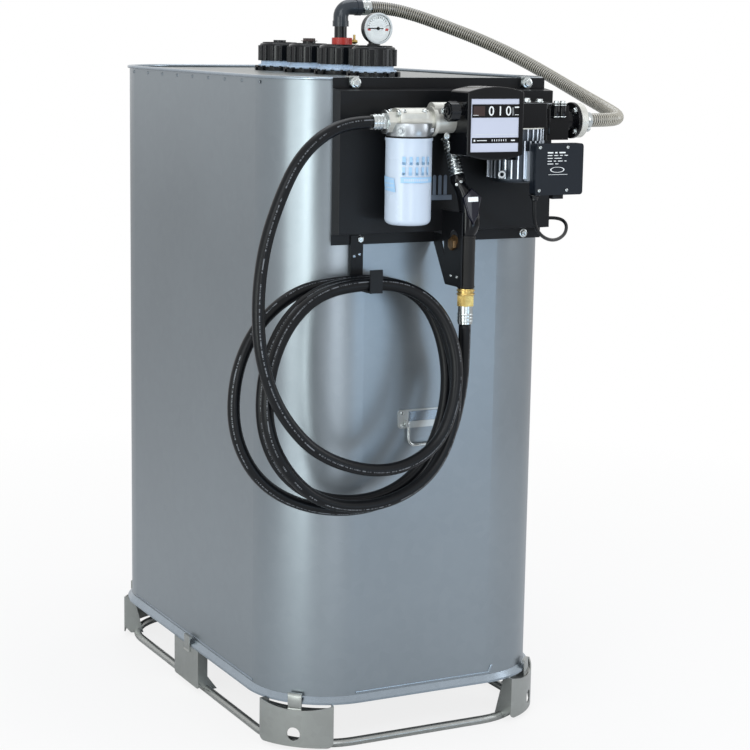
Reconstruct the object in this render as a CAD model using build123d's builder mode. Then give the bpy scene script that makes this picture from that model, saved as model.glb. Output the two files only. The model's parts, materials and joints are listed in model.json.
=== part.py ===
from build123d import *
import math
import os

os.makedirs("parts", exist_ok=True)

# Bunded diesel tank with a wall-hung transfer pump set.
# X runs along the narrow front, Y from the front to the back, Z up from the floor.
# The origin is the centre of the tank's footprint at floor level.

# Tank body
tank_width = 720.0
tank_length = 1150.0
corner_radius = 188.0
wall_foot = 112.0
rim_top = 1555.0
jacket_sheet = 1.5
rim_bead_height = 7.0
rim_bead_overhang = 6.0
rim_bead_inside = 8.0
seam_overhang = 11.0
seam_height = 17.0
seam_lip = 5.0
floor_sheet = 2.0
seat = 0.3

# Inner plastic tank and its four necks
inner_gap = 14.0
inner_wall = 5.0
inner_headroom = 24.0
inner_edge_radius = 12.0
neck_diameter = 97.0
neck_wall = 5.0
neck_rise = 51.0
neck_setback = 308.0
neck_pitch = 179.0
neck_count = 4

# Lock rings and screw caps
ring_diameter = 130.0
ring_height = 9.0
ring_notches = 12
ring_notch_width = 14.0
ring_notch_depth = 6.0
cap_diameter = 112.0
cap_lift = 18.0
cap_height = 45.0
cap_crown = 9.0
cap_thread_gap = 0.8
cap_rib_count = 16
cap_rib_radius = 4.0
cap_edge_radius = 6.0

# Fittings on the caps
gauge_dial_diameter = 72.0
gauge_depth = 22.0
gauge_bezel = 4.0
gauge_recess = 4.0
gauge_plate = 1.5
gauge_rise = 43.0
gauge_lead = 23.0
gauge_stem_diameter = 26.0
plug_diameter = 33.0
plug_height = 8.0
plug_shank_diameter = 25.0
plug_slot_width = 4.0
riser_diameter = 31.0
riser_bore = 25.0
collar_diameter = 43.0
collar_height = 19.0
elbow_diameter = 37.0
elbow_socket_diameter = 40.0
elbow_socket_length = 14.0
elbow_rise = 46.0
elbow_axis_rise = 47.0
elbow_reach = 53.0
elbow_bend_radius = 24.0
valve_diameter = 9.0
valve_reach = 38.0

# Hoses and cable
suction_hose_diameter = 32.0
delivery_hose_diameter = 27.5
power_cable_diameter = 8.0
suction_clamp_diameter = 37.0
suction_clamp_length = 24.0
ferrule_diameter = 33.0
ferrule_length = 32.0
hose_lead_in = 53.0
nozzle_lead_in = 49.0

# Hat-shaped panel that hangs on the tank's front
panel_left = -262.0
panel_right = 282.0
panel_sheet = 2.0
rail_stand_off = 9.0
panel_depth = 38.0
panel_drop = 28.0
panel_height = 313.5
rail_height = 23.0
rail_gap = 5.0
panel_slot_width = 9.0
panel_slot_pitch = 14.0
panel_slot_count = 3
panel_slot_lift = 76.5
panel_slot_length = 50.0
panel_slot_x = -10.0

# Clamps over the rim and buffers under the lower rail
clamp_x = (-212.0, 229.0)
clamp_width = 24.0
clamp_sheet = 3.0
clamp_bolt_diameter = 8.0
clamp_tail = 8.0
clamp_grip = 2.0
clamp_head_diameter = 19.0
buffer_x = (-191.0, 236.0)
buffer_diameter = 22.0

# Pump set: one flow axis from the suction flange to the filter
flow_stand_off = 70.0
flow_drop = 92.0
meter_left = -24.0
meter_right = 118.0
meter_reach = 73.0
meter_set_back = 4.0
meter_fall = 71.0
meter_rise = 67.0
meter_bulge = 11.0
meter_rear_depth = 33.0
meter_rear_fall = 26.0
meter_rear_rise = 37.0
meter_edge_radius = 5.0
face_width = 122.0
face_height = 116.0
face_recess = 3.0
face_plate = 1.5
face_centre_x = 45.0
face_fall = 6.0
knob_diameter = 44.0
knob_width = 22.0
knob_shaft_diameter = 12.0
knob_lead = 49.0
knob_rise = 24.0
knob_standoff = 15.0
knob_lug_count = 8
knob_lug_radius = 3.5
knob_bore_clearance = 0.05
pump_right = 262.0
pump_width_y = 78.0
pump_fall = 42.0
pump_rise = 40.0
pump_shoulder_drop = 6.0
pump_shoulder_inset = 8.0
pump_root = 10.0
pump_step_x = 205.0
pump_edge_radius = 8.0
pump_neck_diameter = 52.0
flange_diameter = 82.0
flange_left = 285.0
flange_thickness = 9.0
flange_ring_thickness = 18.0
flange_ring_diameter = 78.0
pump_lug_width = 40.0
pump_lug_height = 14.0
motor_x = 147.0
motor_length = 94.0
motor_set_back = 5.5
motor_diameter = 115.0
motor_fin_diameter = 127.0
motor_fin_count = 28
motor_fin_thickness = 3.0
motor_fin_lift = 10.0
motor_edge_radius = 8.0
motor_step_drop = 42.0
motor_step_x = 119.0
pad_width = 52.0
pad_inset = 24.0
pad_shift = 14.0
pad_lift = 6.0
box_left = 141.0
box_width = 124.0
box_fall = 160.0
box_height = 114.0
box_lead = 92.0
box_depth = 25.0
box_corner_radius = 7.0
box_lid_depth = 8.0
box_lid_groove = 1.5
gland_height = 12.0
gland_diameter = 14.0
gland_inset = 9.0
gland_lead = 17.0
side_gland_lead = 14.0
side_gland_lift = 18.5

# Filter
filter_x = -129.0
can_diameter = 102.0
can_length = 190.0
can_fall = 34.0
can_seam_overhang = 1.5
can_edge_radius = 14.0
can_seam_height = 6.0
head_disc_diameter = 98.0
head_disc_height = 22.0
head_block_width = 72.0
head_block_depth = 58.0
head_block_height = 34.0
port_diameter = 44.0
port_flange_diameter = 66.0
port_flange_thickness = 9.0
port_reach_left = 61.0
port_reach_right = 49.5
union_diameter = 50.0
union_length = 22.0
elbow_joint_diameter = 52.0
elbow_lobe_diameter = 40.0
elbow_lobe_rise = 22.0

# Nozzle, hung with its spout up
nozzle_lead = 5.0
nozzle_x = 20.0
grip_drop = 3.5
grip_length = 119.0
grip_diameter = 38.0
swivel_length = 39.0
swivel_hex_height = 24.0
swivel_diameter = 42.0
nozzle_ferrule_length = 41.0
belly_rise = 50.0
belly_width = 46.0
belly_depth = 42.0
shoulder_rise = 88.0
shoulder_width = 38.0
shoulder_depth = 36.0
spigot_diameter = 30.0
spigot_length = 12.0
spout_diameter = 25.0
spout_bend_radius = 80.0
spout_tip_chamfer = 3.0

# Nozzle holder
holder_sheet = 3.0
holder_rise = 48.5
holder_fall = 118.5
holder_heel = 57.0
holder_notch_back = 33.0
holder_notch_depth = 16.0
holder_notch_head = 14.5
holder_notch_foot = 46.5
holder_lead = 15.0
holder_hole_diameter = 38.0
holder_hole_set_back = 21.0
holder_hole_drop = 11.5

# Hose hook
hook_left = -215.0
hook_width = 31.0
hook_sheet = 4.0
hook_lower = 2.5
hook_drop = 118.0
hook_reach = 102.0
hook_lip_height = 52.0

# Carrying handles on both narrow ends
handle_plate_width = 164.0
handle_plate_foot = 755.0
handle_plate_height = 43.0
handle_plate_radius = 8.0
handle_plate_sheet = 3.0
bail_half_width = 57.0
bail_wire = 7.0
bail_drop = 52.0
bail_bend_radius = 16.0
bail_pivot_lift = 12.0
bail_pin_clearance = 0.05
bail_stand_off = 6.0
ear_thickness = 5.0
ear_height = 16.0
ear_gap = 1.0

# Base
base_tube_diameter = 20.0
base_tube_inset = 5.0
foot_overhang = 22.0
foot_sheet = 3.0
foot_bottom = 10.0
foot_scoop = 13.0
foot_scoop_radius = 332.0
shelf_step = 2.0
shelf_depth = 34.0
flange_head_depth = 26.0
flange_foot_depth = 52.0
flange_corner = 18.0
foot_half_angle = 26.0
foot_hole_diameter = 32.0
foot_hole_z = 41.0
foot_corner_radius = 15.0
mid_foot_width = 158.0
mid_foot_overhang = 12.0
mid_foot_bottom = 14.0
mid_waist_z = 45.0

# Derived places on the tank
roof_top = rim_top - rim_bead_height
arc_x = tank_width / 2 - corner_radius
arc_y = tank_length / 2 - corner_radius
front_face_y = -tank_length / 2
neck_top = rim_top + neck_rise
neck_ys = [front_face_y + neck_setback + neck_pitch * i for i in range(neck_count)]
gauge_y, suction_y, vent_y, fill_y = neck_ys
cap_foot = rim_top + cap_lift
cap_top = cap_foot + cap_height
gauge_face_y = gauge_y - gauge_lead
gauge_centre_z = cap_top + gauge_rise
elbow_foot = cap_top + elbow_rise
elbow_axis_z = elbow_foot + elbow_axis_rise
base_tube_offset = base_tube_inset + base_tube_diameter / 2

# Derived places on the front: the panel hangs from the rim, the pump set from the panel
rail_face_y = front_face_y - rail_stand_off
panel_face_y = rail_face_y - panel_depth
panel_head = rim_top - panel_drop
panel_foot = panel_head - panel_height
upper_rail_foot = panel_head + rail_gap
lower_rail_head = panel_foot - rail_gap
flow_y = panel_face_y - flow_stand_off
flow_z = rim_top - flow_drop
meter_face_y = flow_y - meter_reach
meter_back_y = flow_y + meter_set_back
meter_foot = flow_z - meter_fall
meter_head = flow_z + meter_rise
meter_rear_foot = flow_z - meter_rear_fall
meter_rear_head = flow_z + meter_rear_rise
face_centre_z = flow_z - face_fall
knob_y = flow_y - knob_lead
knob_z = flow_z + knob_rise
pump_foot = flow_z - pump_fall
pump_head = flow_z + pump_rise
pump_back_y = flow_y + pump_width_y / 2
motor_foot = pump_foot - motor_length
motor_y = flow_y + motor_set_back
box_foot = flow_z - box_fall
box_face_y = flow_y - box_lead
can_head = flow_z - can_fall
can_foot = can_head - can_length
nozzle_y = flow_y - nozzle_lead
grip_head = panel_foot - grip_drop
grip_foot = grip_head - grip_length
swivel_foot = grip_foot - swivel_length
nozzle_ferrule_foot = swivel_foot - nozzle_ferrule_length
holder_head = panel_foot + holder_rise
holder_foot = panel_foot - holder_fall
holder_front_y = nozzle_y - holder_lead
holder_hole_y = nozzle_y + holder_hole_set_back
holder_hole_z = panel_foot - holder_hole_drop
hook_head = lower_rail_head - hook_lower
hook_tongue_z = hook_head - hook_drop
bail_pivot_z = handle_plate_foot + bail_pivot_lift

# Galvanised jacket: one wrapped sheet, open at both ends
with BuildPart() as tank_jacket:
    with BuildSketch(Plane.XY.offset(wall_foot)):
        RectangleRounded(tank_width, tank_length, corner_radius)
        RectangleRounded(
            tank_width - 2 * jacket_sheet,
            tank_length - 2 * jacket_sheet,
            corner_radius - jacket_sheet,
            mode=Mode.SUBTRACT,
        )
    extrude(amount=roof_top - wall_foot)
tank_jacket.part.label = "tank_jacket"
export_step(tank_jacket.part, "parts/tank_jacket.step")

# Rolled bead round the top edge
with BuildPart() as top_rim:
    with BuildSketch(Plane.XY.offset(roof_top)):
        RectangleRounded(
            tank_width + 2 * rim_bead_overhang,
            tank_length + 2 * rim_bead_overhang,
            corner_radius + rim_bead_overhang,
        )
        RectangleRounded(
            tank_width - 2 * rim_bead_inside,
            tank_length - 2 * rim_bead_inside,
            corner_radius - rim_bead_inside,
            mode=Mode.SUBTRACT,
        )
    extrude(amount=rim_bead_height)
    bead_edges = top_rim.edges().group_by(Axis.Z)[-1]
    fillet(bead_edges, rim_bead_height * 0.45)
    under_edges = top_rim.edges().group_by(Axis.Z)[0].sort_by(SortBy.DISTANCE)[-8:]
    fillet(under_edges, rim_bead_height * 0.35)
top_rim.part.label = "top_rim"
export_step(top_rim.part, "parts/top_rim.step")

# Roof sheet under the bead, pierced by the four necks
with BuildPart() as tank_roof:
    with BuildSketch(Plane.XY.offset(roof_top - jacket_sheet)):
        RectangleRounded(
            tank_width - 2 * (jacket_sheet + seat),
            tank_length - 2 * (jacket_sheet + seat),
            corner_radius - jacket_sheet - seat,
        )
        with Locations([(0, y) for y in neck_ys]):
            Circle(neck_diameter / 2 + seat, mode=Mode.SUBTRACT)
    extrude(amount=jacket_sheet)
tank_roof.part.label = "tank_roof"
export_step(tank_roof.part, "parts/tank_roof.step")

# Floor sheet inside the jacket
with BuildPart() as tank_floor:
    with BuildSketch(Plane.XY.offset(wall_foot)):
        RectangleRounded(
            tank_width - 2 * (jacket_sheet + seat),
            tank_length - 2 * (jacket_sheet + seat),
            corner_radius - jacket_sheet - seat,
        )
    extrude(amount=floor_sheet)
tank_floor.part.label = "tank_floor"
export_step(tank_floor.part, "parts/tank_floor.step")

# Flared seam round the jacket's lower edge
with BuildPart() as bottom_rim:
    with BuildSketch(Plane.XY.offset(wall_foot)):
        RectangleRounded(
            tank_width + 2 * seam_overhang,
            tank_length + 2 * seam_overhang,
            corner_radius + seam_overhang,
        )
    extrude(amount=seam_height)
    seam_edges = bottom_rim.edges().group_by(Axis.Z)[-1]
    chamfer(seam_edges, length=seam_height - seam_lip, length2=seam_overhang - seat)
    with BuildSketch(Plane.XY.offset(wall_foot)):
        RectangleRounded(
            tank_width + 2 * seat,
            tank_length + 2 * seat,
            corner_radius + seat,
        )
    extrude(amount=seam_height, mode=Mode.SUBTRACT)
bottom_rim.part.label = "bottom_rim"
export_step(bottom_rim.part, "parts/bottom_rim.step")

# Blown plastic tank that stands inside the jacket
inner_foot = wall_foot + floor_sheet
inner_height = roof_top - jacket_sheet - inner_headroom - inner_foot
with BuildPart() as inner_tank:
    with BuildSketch(Plane.XY.offset(inner_foot)):
        RectangleRounded(
            tank_width - 2 * inner_gap,
            tank_length - 2 * inner_gap,
            corner_radius - inner_gap,
        )
    extrude(amount=inner_height)
    fillet(inner_tank.edges().group_by(Axis.Z)[-1], inner_edge_radius)
    fillet(inner_tank.edges().group_by(Axis.Z)[0], inner_edge_radius)
    with BuildSketch(Plane.XY.offset(inner_foot + inner_height)):
        with Locations([(0, y) for y in neck_ys]):
            Circle(neck_diameter / 2)
    extrude(amount=neck_top - inner_foot - inner_height)
    with BuildSketch(Plane.XY.offset(inner_foot + inner_wall)):
        RectangleRounded(
            tank_width - 2 * (inner_gap + inner_wall),
            tank_length - 2 * (inner_gap + inner_wall),
            corner_radius - inner_gap - inner_wall,
        )
    extrude(amount=inner_height - 2 * inner_wall, mode=Mode.SUBTRACT)
    with BuildSketch(Plane.XY.offset(inner_foot + inner_height - 2 * inner_wall)):
        with Locations([(0, y) for y in neck_ys]):
            Circle(neck_diameter / 2 - neck_wall)
    extrude(amount=neck_top - inner_foot, mode=Mode.SUBTRACT)
inner_tank.part.label = "inner_tank"
export_step(inner_tank.part, "parts/inner_tank.step")

# Notched lock rings on the roof round each neck
with BuildPart() as neck_rings:
    for neck_y in neck_ys:
        with BuildSketch(Plane.XY.offset(roof_top)):
            with Locations((0, neck_y)):
                Circle(ring_diameter / 2)
                Circle(neck_diameter / 2 + seat, mode=Mode.SUBTRACT)
                with PolarLocations(ring_diameter / 2, ring_notches):
                    Rectangle(2 * ring_notch_depth, ring_notch_width, mode=Mode.SUBTRACT)
        extrude(amount=ring_height)
neck_rings.part.label = "neck_rings"
export_step(neck_rings.part, "parts/neck_rings.step")

# Ribbed screw caps, each with a hole for its own fitting
cap_fittings = {
    "gauge_cap": (gauge_y, gauge_stem_diameter),
    "suction_cap": (suction_y, riser_diameter),
    "vent_cap": (vent_y, plug_shank_diameter),
    "fill_cap": (fill_y, plug_shank_diameter),
}
cap_body_radius = cap_diameter / 2 - cap_rib_radius
for cap_name, (cap_y, fitting_diameter) in cap_fittings.items():
    with BuildPart() as screw_cap:
        with BuildSketch(Plane.XY.offset(cap_foot)):
            with Locations((0, cap_y)):
                Circle(cap_body_radius)
        extrude(amount=cap_top - cap_foot)
        fillet(screw_cap.edges().group_by(Axis.Z)[-1], cap_edge_radius)
        with BuildSketch(Plane.XY.offset(cap_foot)):
            with Locations((0, cap_y)):
                with PolarLocations(cap_body_radius, cap_rib_count):
                    Circle(cap_rib_radius)
        extrude(amount=cap_top - cap_foot - cap_edge_radius)
        with BuildSketch(Plane.XY.offset(cap_foot)):
            with Locations((0, cap_y)):
                Circle(neck_diameter / 2 + cap_thread_gap)
        extrude(amount=neck_top + seat - cap_foot, mode=Mode.SUBTRACT)
        with BuildSketch(Plane.XY.offset(cap_foot)):
            with Locations((0, cap_y)):
                Circle(fitting_diameter / 2 + seat)
        extrude(amount=cap_top - cap_foot, mode=Mode.SUBTRACT)
    screw_cap.part.label = cap_name
    export_step(screw_cap.part, f"parts/{cap_name}.step")

# Slotted plugs in the two rear caps
with BuildPart() as cap_plugs:
    for plug_y in (vent_y, fill_y):
        with BuildSketch(Plane.XY.offset(cap_top)):
            with Locations((0, plug_y)):
                Circle(plug_diameter / 2)
        extrude(amount=plug_height)
        with BuildSketch(Plane.XY.offset(cap_top)):
            with Locations((0, plug_y)):
                Circle(plug_shank_diameter / 2)
        extrude(amount=-cap_crown)
        with BuildSketch(Plane.XY.offset(cap_top + plug_height)):
            with Locations((0, plug_y)):
                Rectangle(plug_diameter, plug_slot_width)
        extrude(amount=-plug_height / 2, mode=Mode.SUBTRACT)
cap_plugs.part.label = "cap_plugs"
export_step(cap_plugs.part, "parts/cap_plugs.step")

# Level gauge: a dial housing on a stem, facing the front
gauge_front = Plane(origin=(0, gauge_face_y, gauge_centre_z), x_dir=(1, 0, 0), z_dir=(0, -1, 0))
with BuildPart() as level_gauge:
    with BuildSketch(gauge_front):
        Circle(gauge_dial_diameter / 2)
    extrude(amount=-gauge_depth)
    fillet(level_gauge.edges().filter_by(GeomType.CIRCLE), 2)
    with BuildSketch(Plane.XY.offset(cap_top)):
        with Locations((0, gauge_y)):
            Circle(gauge_stem_diameter / 2)
    extrude(amount=gauge_centre_z - cap_top)
    with BuildSketch(Plane.XY.offset(cap_top)):
        with Locations((0, gauge_y)):
            Circle(gauge_stem_diameter / 2)
    extrude(amount=-cap_crown)
    with BuildSketch(Plane.XY.offset(cap_top)):
        with Locations((0, gauge_y)):
            RegularPolygon(gauge_stem_diameter * 0.68, 6)
    extrude(amount=6)
    with BuildSketch(gauge_front):
        Circle(gauge_dial_diameter / 2 - gauge_bezel)
    extrude(amount=-gauge_recess, mode=Mode.SUBTRACT)
level_gauge.part.label = "level_gauge"
export_step(level_gauge.part, "parts/level_gauge.step")

# Dial plate in the housing's recess
with BuildPart() as gauge_dial:
    with BuildSketch(gauge_front.offset(-gauge_recess)):
        Circle(gauge_dial_diameter / 2 - gauge_bezel - seat)
    extrude(amount=gauge_plate)
gauge_dial.part.label = "gauge_dial"
export_step(gauge_dial.part, "parts/gauge_dial.step")

# Suction riser: a pipe through the cap, with a collar, an elbow and a small valve
riser_base = Plane(origin=(0, suction_y, 0))
riser_head = elbow_foot + elbow_socket_length
with BuildPart() as suction_riser:
    with BuildSketch(riser_base.offset(cap_top - cap_crown)):
        Circle(riser_diameter / 2)
        Circle(riser_bore / 2, mode=Mode.SUBTRACT)
    extrude(amount=riser_head - cap_top + cap_crown)
suction_riser.part.label = "suction_riser"
export_step(suction_riser.part, "parts/suction_riser.step")

with BuildPart() as suction_collar:
    with BuildSketch(riser_base.offset(cap_top)):
        Circle(collar_diameter / 2)
        with Locations((collar_diameter / 2, 0)):
            Rectangle(14, 14)
    extrude(amount=collar_height)
    fillet(suction_collar.edges().group_by(Axis.Z)[-1], 1.5)
    with BuildSketch(riser_base.offset(cap_top)):
        Circle(riser_diameter / 2 + seat)
    extrude(amount=collar_height, mode=Mode.SUBTRACT)
suction_collar.part.label = "suction_collar"
export_step(suction_collar.part, "parts/suction_collar.step")

valve_base = Plane(
    origin=(collar_diameter / 2 + 7, suction_y, cap_top + collar_height / 2),
    x_dir=(0, 1, 0),
    z_dir=(1, 0, 0),
)
with BuildPart() as suction_valve:
    with BuildSketch(valve_base):
        Circle(valve_diameter / 2)
    extrude(amount=valve_reach - collar_diameter / 2)
    with BuildSketch(valve_base.offset(6)):
        RegularPolygon(valve_diameter * 0.75, 6)
    extrude(amount=6)
    with BuildSketch(Plane.XY.offset(cap_top + collar_height / 2)):
        with Locations((valve_reach, suction_y)):
            Circle(3)
    extrude(amount=17)
suction_valve.part.label = "suction_valve"
export_step(suction_valve.part, "parts/suction_valve.step")

with BuildPart() as suction_elbow:
    with BuildLine() as elbow_path:
        FilletPolyline(
            (0, suction_y, elbow_foot),
            (0, suction_y, elbow_axis_z),
            (elbow_reach, suction_y, elbow_axis_z),
            radius=elbow_bend_radius,
        )
    with BuildSketch(riser_base.offset(elbow_foot)):
        Circle(elbow_diameter / 2)
    sweep()
    with BuildSketch(riser_base.offset(elbow_foot)):
        Circle(elbow_socket_diameter / 2)
    extrude(amount=elbow_socket_length)
    elbow_mouth = Plane(
        origin=(elbow_reach, suction_y, elbow_axis_z), x_dir=(0, 1, 0), z_dir=(1, 0, 0)
    )
    with BuildSketch(elbow_mouth):
        Circle(elbow_socket_diameter / 2)
    extrude(amount=-elbow_socket_length)
    with BuildSketch(riser_base.offset(elbow_foot)):
        Circle(riser_diameter / 2 + seat)
    extrude(amount=elbow_socket_length, mode=Mode.SUBTRACT)
suction_elbow.part.label = "suction_elbow"
export_step(suction_elbow.part, "parts/suction_elbow.step")

# Clamped sleeves on both ends of the suction hose
inlet_x = flange_left + flange_thickness + flange_ring_thickness
inlet_mouth = Plane(origin=(inlet_x, flow_y, flow_z), x_dir=(0, 1, 0), z_dir=(1, 0, 0))
with BuildPart() as suction_clamps:
    for mouth in (elbow_mouth, inlet_mouth):
        with BuildSketch(mouth):
            Circle(suction_clamp_diameter / 2)
        extrude(amount=suction_clamp_length)
suction_clamps.part.label = "suction_clamps"
export_step(suction_clamps.part, "parts/suction_clamps.step")


def off_front(points):
    """A route from points given as x, distance in front of the tank's front face, and z."""
    return [(x, front_face_y - reach, z) for x, reach, z in points]


def route_radii(points):
    """Largest arc at each corner of a route that its two runs allow."""
    radii = []
    for before, corner, after in zip(points, points[1:], points[2:]):
        run_in = Vector(*corner) - Vector(*before)
        run_out = Vector(*after) - Vector(*corner)
        half_turn = math.radians(run_in.get_angle(run_out)) / 2
        radii.append(0.45 * min(run_in.length, run_out.length) / math.tan(half_turn))
    return radii


# Suction hose from the elbow round the tank's right edge to the pump
suction_bow = [
    (192, -459, 1695),
    (255, -412, 1668),
    (318, -355, 1638),
    (378, -285, 1600),
    (428, -205, 1556),
    (460, -120, 1516),
    (472, -37, 1488),
    (464, 35, 1472),
    (437, 87, 1465),
]
suction_route = [
    (elbow_reach + suction_clamp_length, suction_y, elbow_axis_z),
    (128, suction_y, elbow_axis_z),
    *off_front(suction_bow),
    (387, flow_y, flow_z),
    (inlet_x + suction_clamp_length, flow_y, flow_z),
]
suction_radii = route_radii(suction_route)
print("suction hose radii", [round(radius) for radius in suction_radii])
with BuildPart() as suction_hose:
    with BuildLine() as suction_path:
        FilletPolyline(*suction_route, radius=suction_radii)
    with BuildSketch(elbow_mouth.offset(suction_clamp_length)):
        Circle(suction_hose_diameter / 2)
    sweep()
suction_hose.part.label = "suction_hose"
export_step(suction_hose.part, "parts/suction_hose.step")
suction_section = math.pi * suction_hose_diameter**2 / 4
suction_line = sum(edge.length for edge in suction_path.edges())
print("suction hose length", round(suction_line), "volume ratio",
      round(suction_hose.part.volume / (suction_section * suction_line), 4))

# Hat-section panel: front tray, two webs, two rails and folded side flanges
panel_width = panel_right - panel_left
panel_mid = (panel_right + panel_left) / 2
panel_side = Plane(origin=(panel_left, 0, 0), x_dir=(0, 1, 0), z_dir=(1, 0, 0))
with BuildPart() as pump_panel:
    with BuildSketch(panel_side):
        with BuildLine() as hat_line:
            Polyline(
                (rail_face_y, lower_rail_head - rail_height),
                (rail_face_y, lower_rail_head),
                (panel_face_y, panel_foot),
                (panel_face_y, panel_head),
                (rail_face_y, upper_rail_foot),
                (rail_face_y, upper_rail_foot + rail_height),
            )
            offset(amount=panel_sheet, side=Side.RIGHT)
        make_face()
    extrude(amount=panel_width)
    with BuildSketch(panel_side):
        with BuildLine():
            Polyline(
                (rail_face_y, lower_rail_head),
                (panel_face_y, panel_foot),
                (panel_face_y, panel_head),
                (rail_face_y, upper_rail_foot),
                close=True,
            )
        make_face()
    extrude(amount=panel_sheet)
    mirror(about=Plane.YZ.offset(panel_mid), mode=Mode.ADD)
    panel_front = Plane(
        origin=(panel_slot_x, panel_face_y, panel_foot + panel_slot_lift + panel_slot_length / 2),
        x_dir=(1, 0, 0),
        z_dir=(0, -1, 0),
    )
    with BuildSketch(panel_front):
        with GridLocations(panel_slot_pitch, 0, panel_slot_count, 1):
            SlotOverall(panel_slot_length, panel_slot_width, rotation=90)
    extrude(amount=-2 * panel_sheet, both=True, mode=Mode.SUBTRACT)
pump_panel.part.label = "pump_panel"
export_step(pump_panel.part, "parts/pump_panel.step")

# Zinc clamps that hook the upper rail over the rim bead
rail_back_y = rail_face_y + panel_sheet
clamp_z = upper_rail_foot + rail_height / 2
with BuildPart() as rim_clamps:
    for x in clamp_x:
        with BuildSketch(Plane(origin=(x - clamp_width / 2, 0, 0), x_dir=(0, 1, 0), z_dir=(1, 0, 0))):
            with BuildLine():
                Polyline(
                    (rail_face_y - clamp_sheet, clamp_z - clamp_tail),
                    (rail_face_y, clamp_z - clamp_tail),
                    (rail_face_y, upper_rail_foot + rail_height),
                    (rail_back_y, rim_top),
                    (front_face_y + rim_bead_inside + clamp_grip, rim_top),
                    (front_face_y + rim_bead_inside + clamp_grip, rim_top + clamp_sheet),
                    (rail_face_y - clamp_sheet, rim_top + clamp_sheet),
                    close=True,
                )
            make_face()
        extrude(amount=clamp_width)
        clamp_front = Plane(
            origin=(x, rail_face_y - clamp_sheet, clamp_z), x_dir=(1, 0, 0), z_dir=(0, -1, 0)
        )
        with BuildSketch(clamp_front):
            Circle(clamp_head_diameter / 2)
        extrude(amount=clamp_bolt_diameter)
rim_clamps.part.label = "rim_clamps"
export_step(rim_clamps.part, "parts/rim_clamps.step")

# Rubber buffers between the lower rail and the tank
buffer_z = lower_rail_head - rail_height / 2
with BuildPart() as panel_buffers:
    for x in buffer_x:
        with BuildSketch(Plane(origin=(x, rail_back_y, buffer_z), x_dir=(1, 0, 0), z_dir=(0, 1, 0))):
            Circle(buffer_diameter / 2)
        extrude(amount=front_face_y - rail_back_y)
panel_buffers.part.label = "panel_buffers"
export_step(panel_buffers.part, "parts/panel_buffers.step")

# Pump body with its stepped housing, neck and fixing lugs
pump_left = meter_right
with BuildPart() as pump_body:
    with BuildSketch(Plane.XY.offset(pump_foot)):
        with Locations(((pump_left + pump_step_x) / 2, flow_y)):
            Rectangle(pump_step_x - pump_left, pump_width_y)
    extrude(amount=pump_head - pump_foot)
    fillet(pump_body.edges().filter_by(Axis.Z), pump_edge_radius)
    with BuildSketch(Plane.XY.offset(pump_foot)):
        with Locations(((pump_step_x - pump_root + pump_right) / 2, flow_y)):
            Rectangle(
                pump_right - pump_step_x + pump_root, pump_width_y - 2 * pump_shoulder_inset
            )
    extrude(amount=pump_head - pump_foot - pump_shoulder_drop)
    pump_axis = Plane(
        origin=(pump_right - pump_root, flow_y, flow_z), x_dir=(0, 1, 0), z_dir=(1, 0, 0)
    )
    with BuildSketch(pump_axis):
        Circle(pump_neck_diameter / 2)
    extrude(amount=flange_left - pump_right + pump_root)
    lug_side = Plane(origin=(0, pump_back_y - 2, 0), x_dir=(1, 0, 0), z_dir=(0, 1, 0))
    with BuildSketch(lug_side):
        with Locations(
            (motor_x, -(pump_head - pump_lug_height)), (motor_x, -(pump_foot + pump_lug_height))
        ):
            Rectangle(pump_lug_width, pump_lug_height)
    extrude(amount=panel_face_y - pump_back_y + 2)
pump_body.part.label = "pump_body"
export_step(pump_body.part, "parts/pump_body.step")

# Bolted suction flange: a black disc on the pump and a grey ring on the hose tail
flange_plane = pump_axis.offset(flange_left - pump_right + pump_root)
with BuildPart() as inlet_flange:
    with BuildSketch(flange_plane):
        Circle(flange_diameter / 2)
    extrude(amount=flange_thickness)
    chamfer(inlet_flange.edges().filter_by(GeomType.CIRCLE), 1.5)
inlet_flange.part.label = "inlet_flange"
export_step(inlet_flange.part, "parts/inlet_flange.step")

with BuildPart() as flange_ring:
    with BuildSketch(flange_plane.offset(flange_thickness)):
        Circle(flange_ring_diameter / 2)
    extrude(amount=flange_ring_thickness)
    chamfer(flange_ring.edges().filter_by(GeomType.CIRCLE), 1.5)
flange_ring.part.label = "flange_ring"
export_step(flange_ring.part, "parts/flange_ring.step")

# Finned motor under the pump, stepped down beside the meter, with a pad for its terminal box
motor_base = Plane(origin=(motor_x, motor_y, motor_foot))
motor_reach = motor_fin_diameter / 2
with BuildPart() as pump_motor:
    with BuildSketch(motor_base):
        Circle(motor_diameter / 2)
    extrude(amount=motor_length)
    fillet(pump_motor.edges().group_by(Axis.Z)[0], motor_edge_radius)
    with BuildSketch(motor_base.offset(motor_fin_lift)):
        with PolarLocations((motor_diameter + motor_fin_diameter) / 4 - 1, motor_fin_count):
            Rectangle((motor_fin_diameter - motor_diameter) / 2 + 2, motor_fin_thickness)
    extrude(amount=motor_length - motor_fin_lift)
    with BuildSketch(Plane(origin=(motor_step_x, motor_y, pump_foot - motor_step_drop))):
        with Locations((-motor_reach / 2, 0)):
            Rectangle(motor_reach, 2 * motor_reach)
    extrude(amount=motor_step_drop, mode=Mode.SUBTRACT)
    pad_back = Plane(origin=(motor_x, motor_y, 0), x_dir=(1, 0, 0), z_dir=(0, -1, 0))
    with BuildSketch(pad_back):
        with Locations((pad_shift, box_foot + box_height / 2 + pad_lift)):
            Rectangle(pad_width, box_height - 2 * pad_inset)
    extrude(amount=motor_y - box_face_y - box_depth)
pump_motor.part.label = "pump_motor"
export_step(pump_motor.part, "parts/pump_motor.step")

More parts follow.
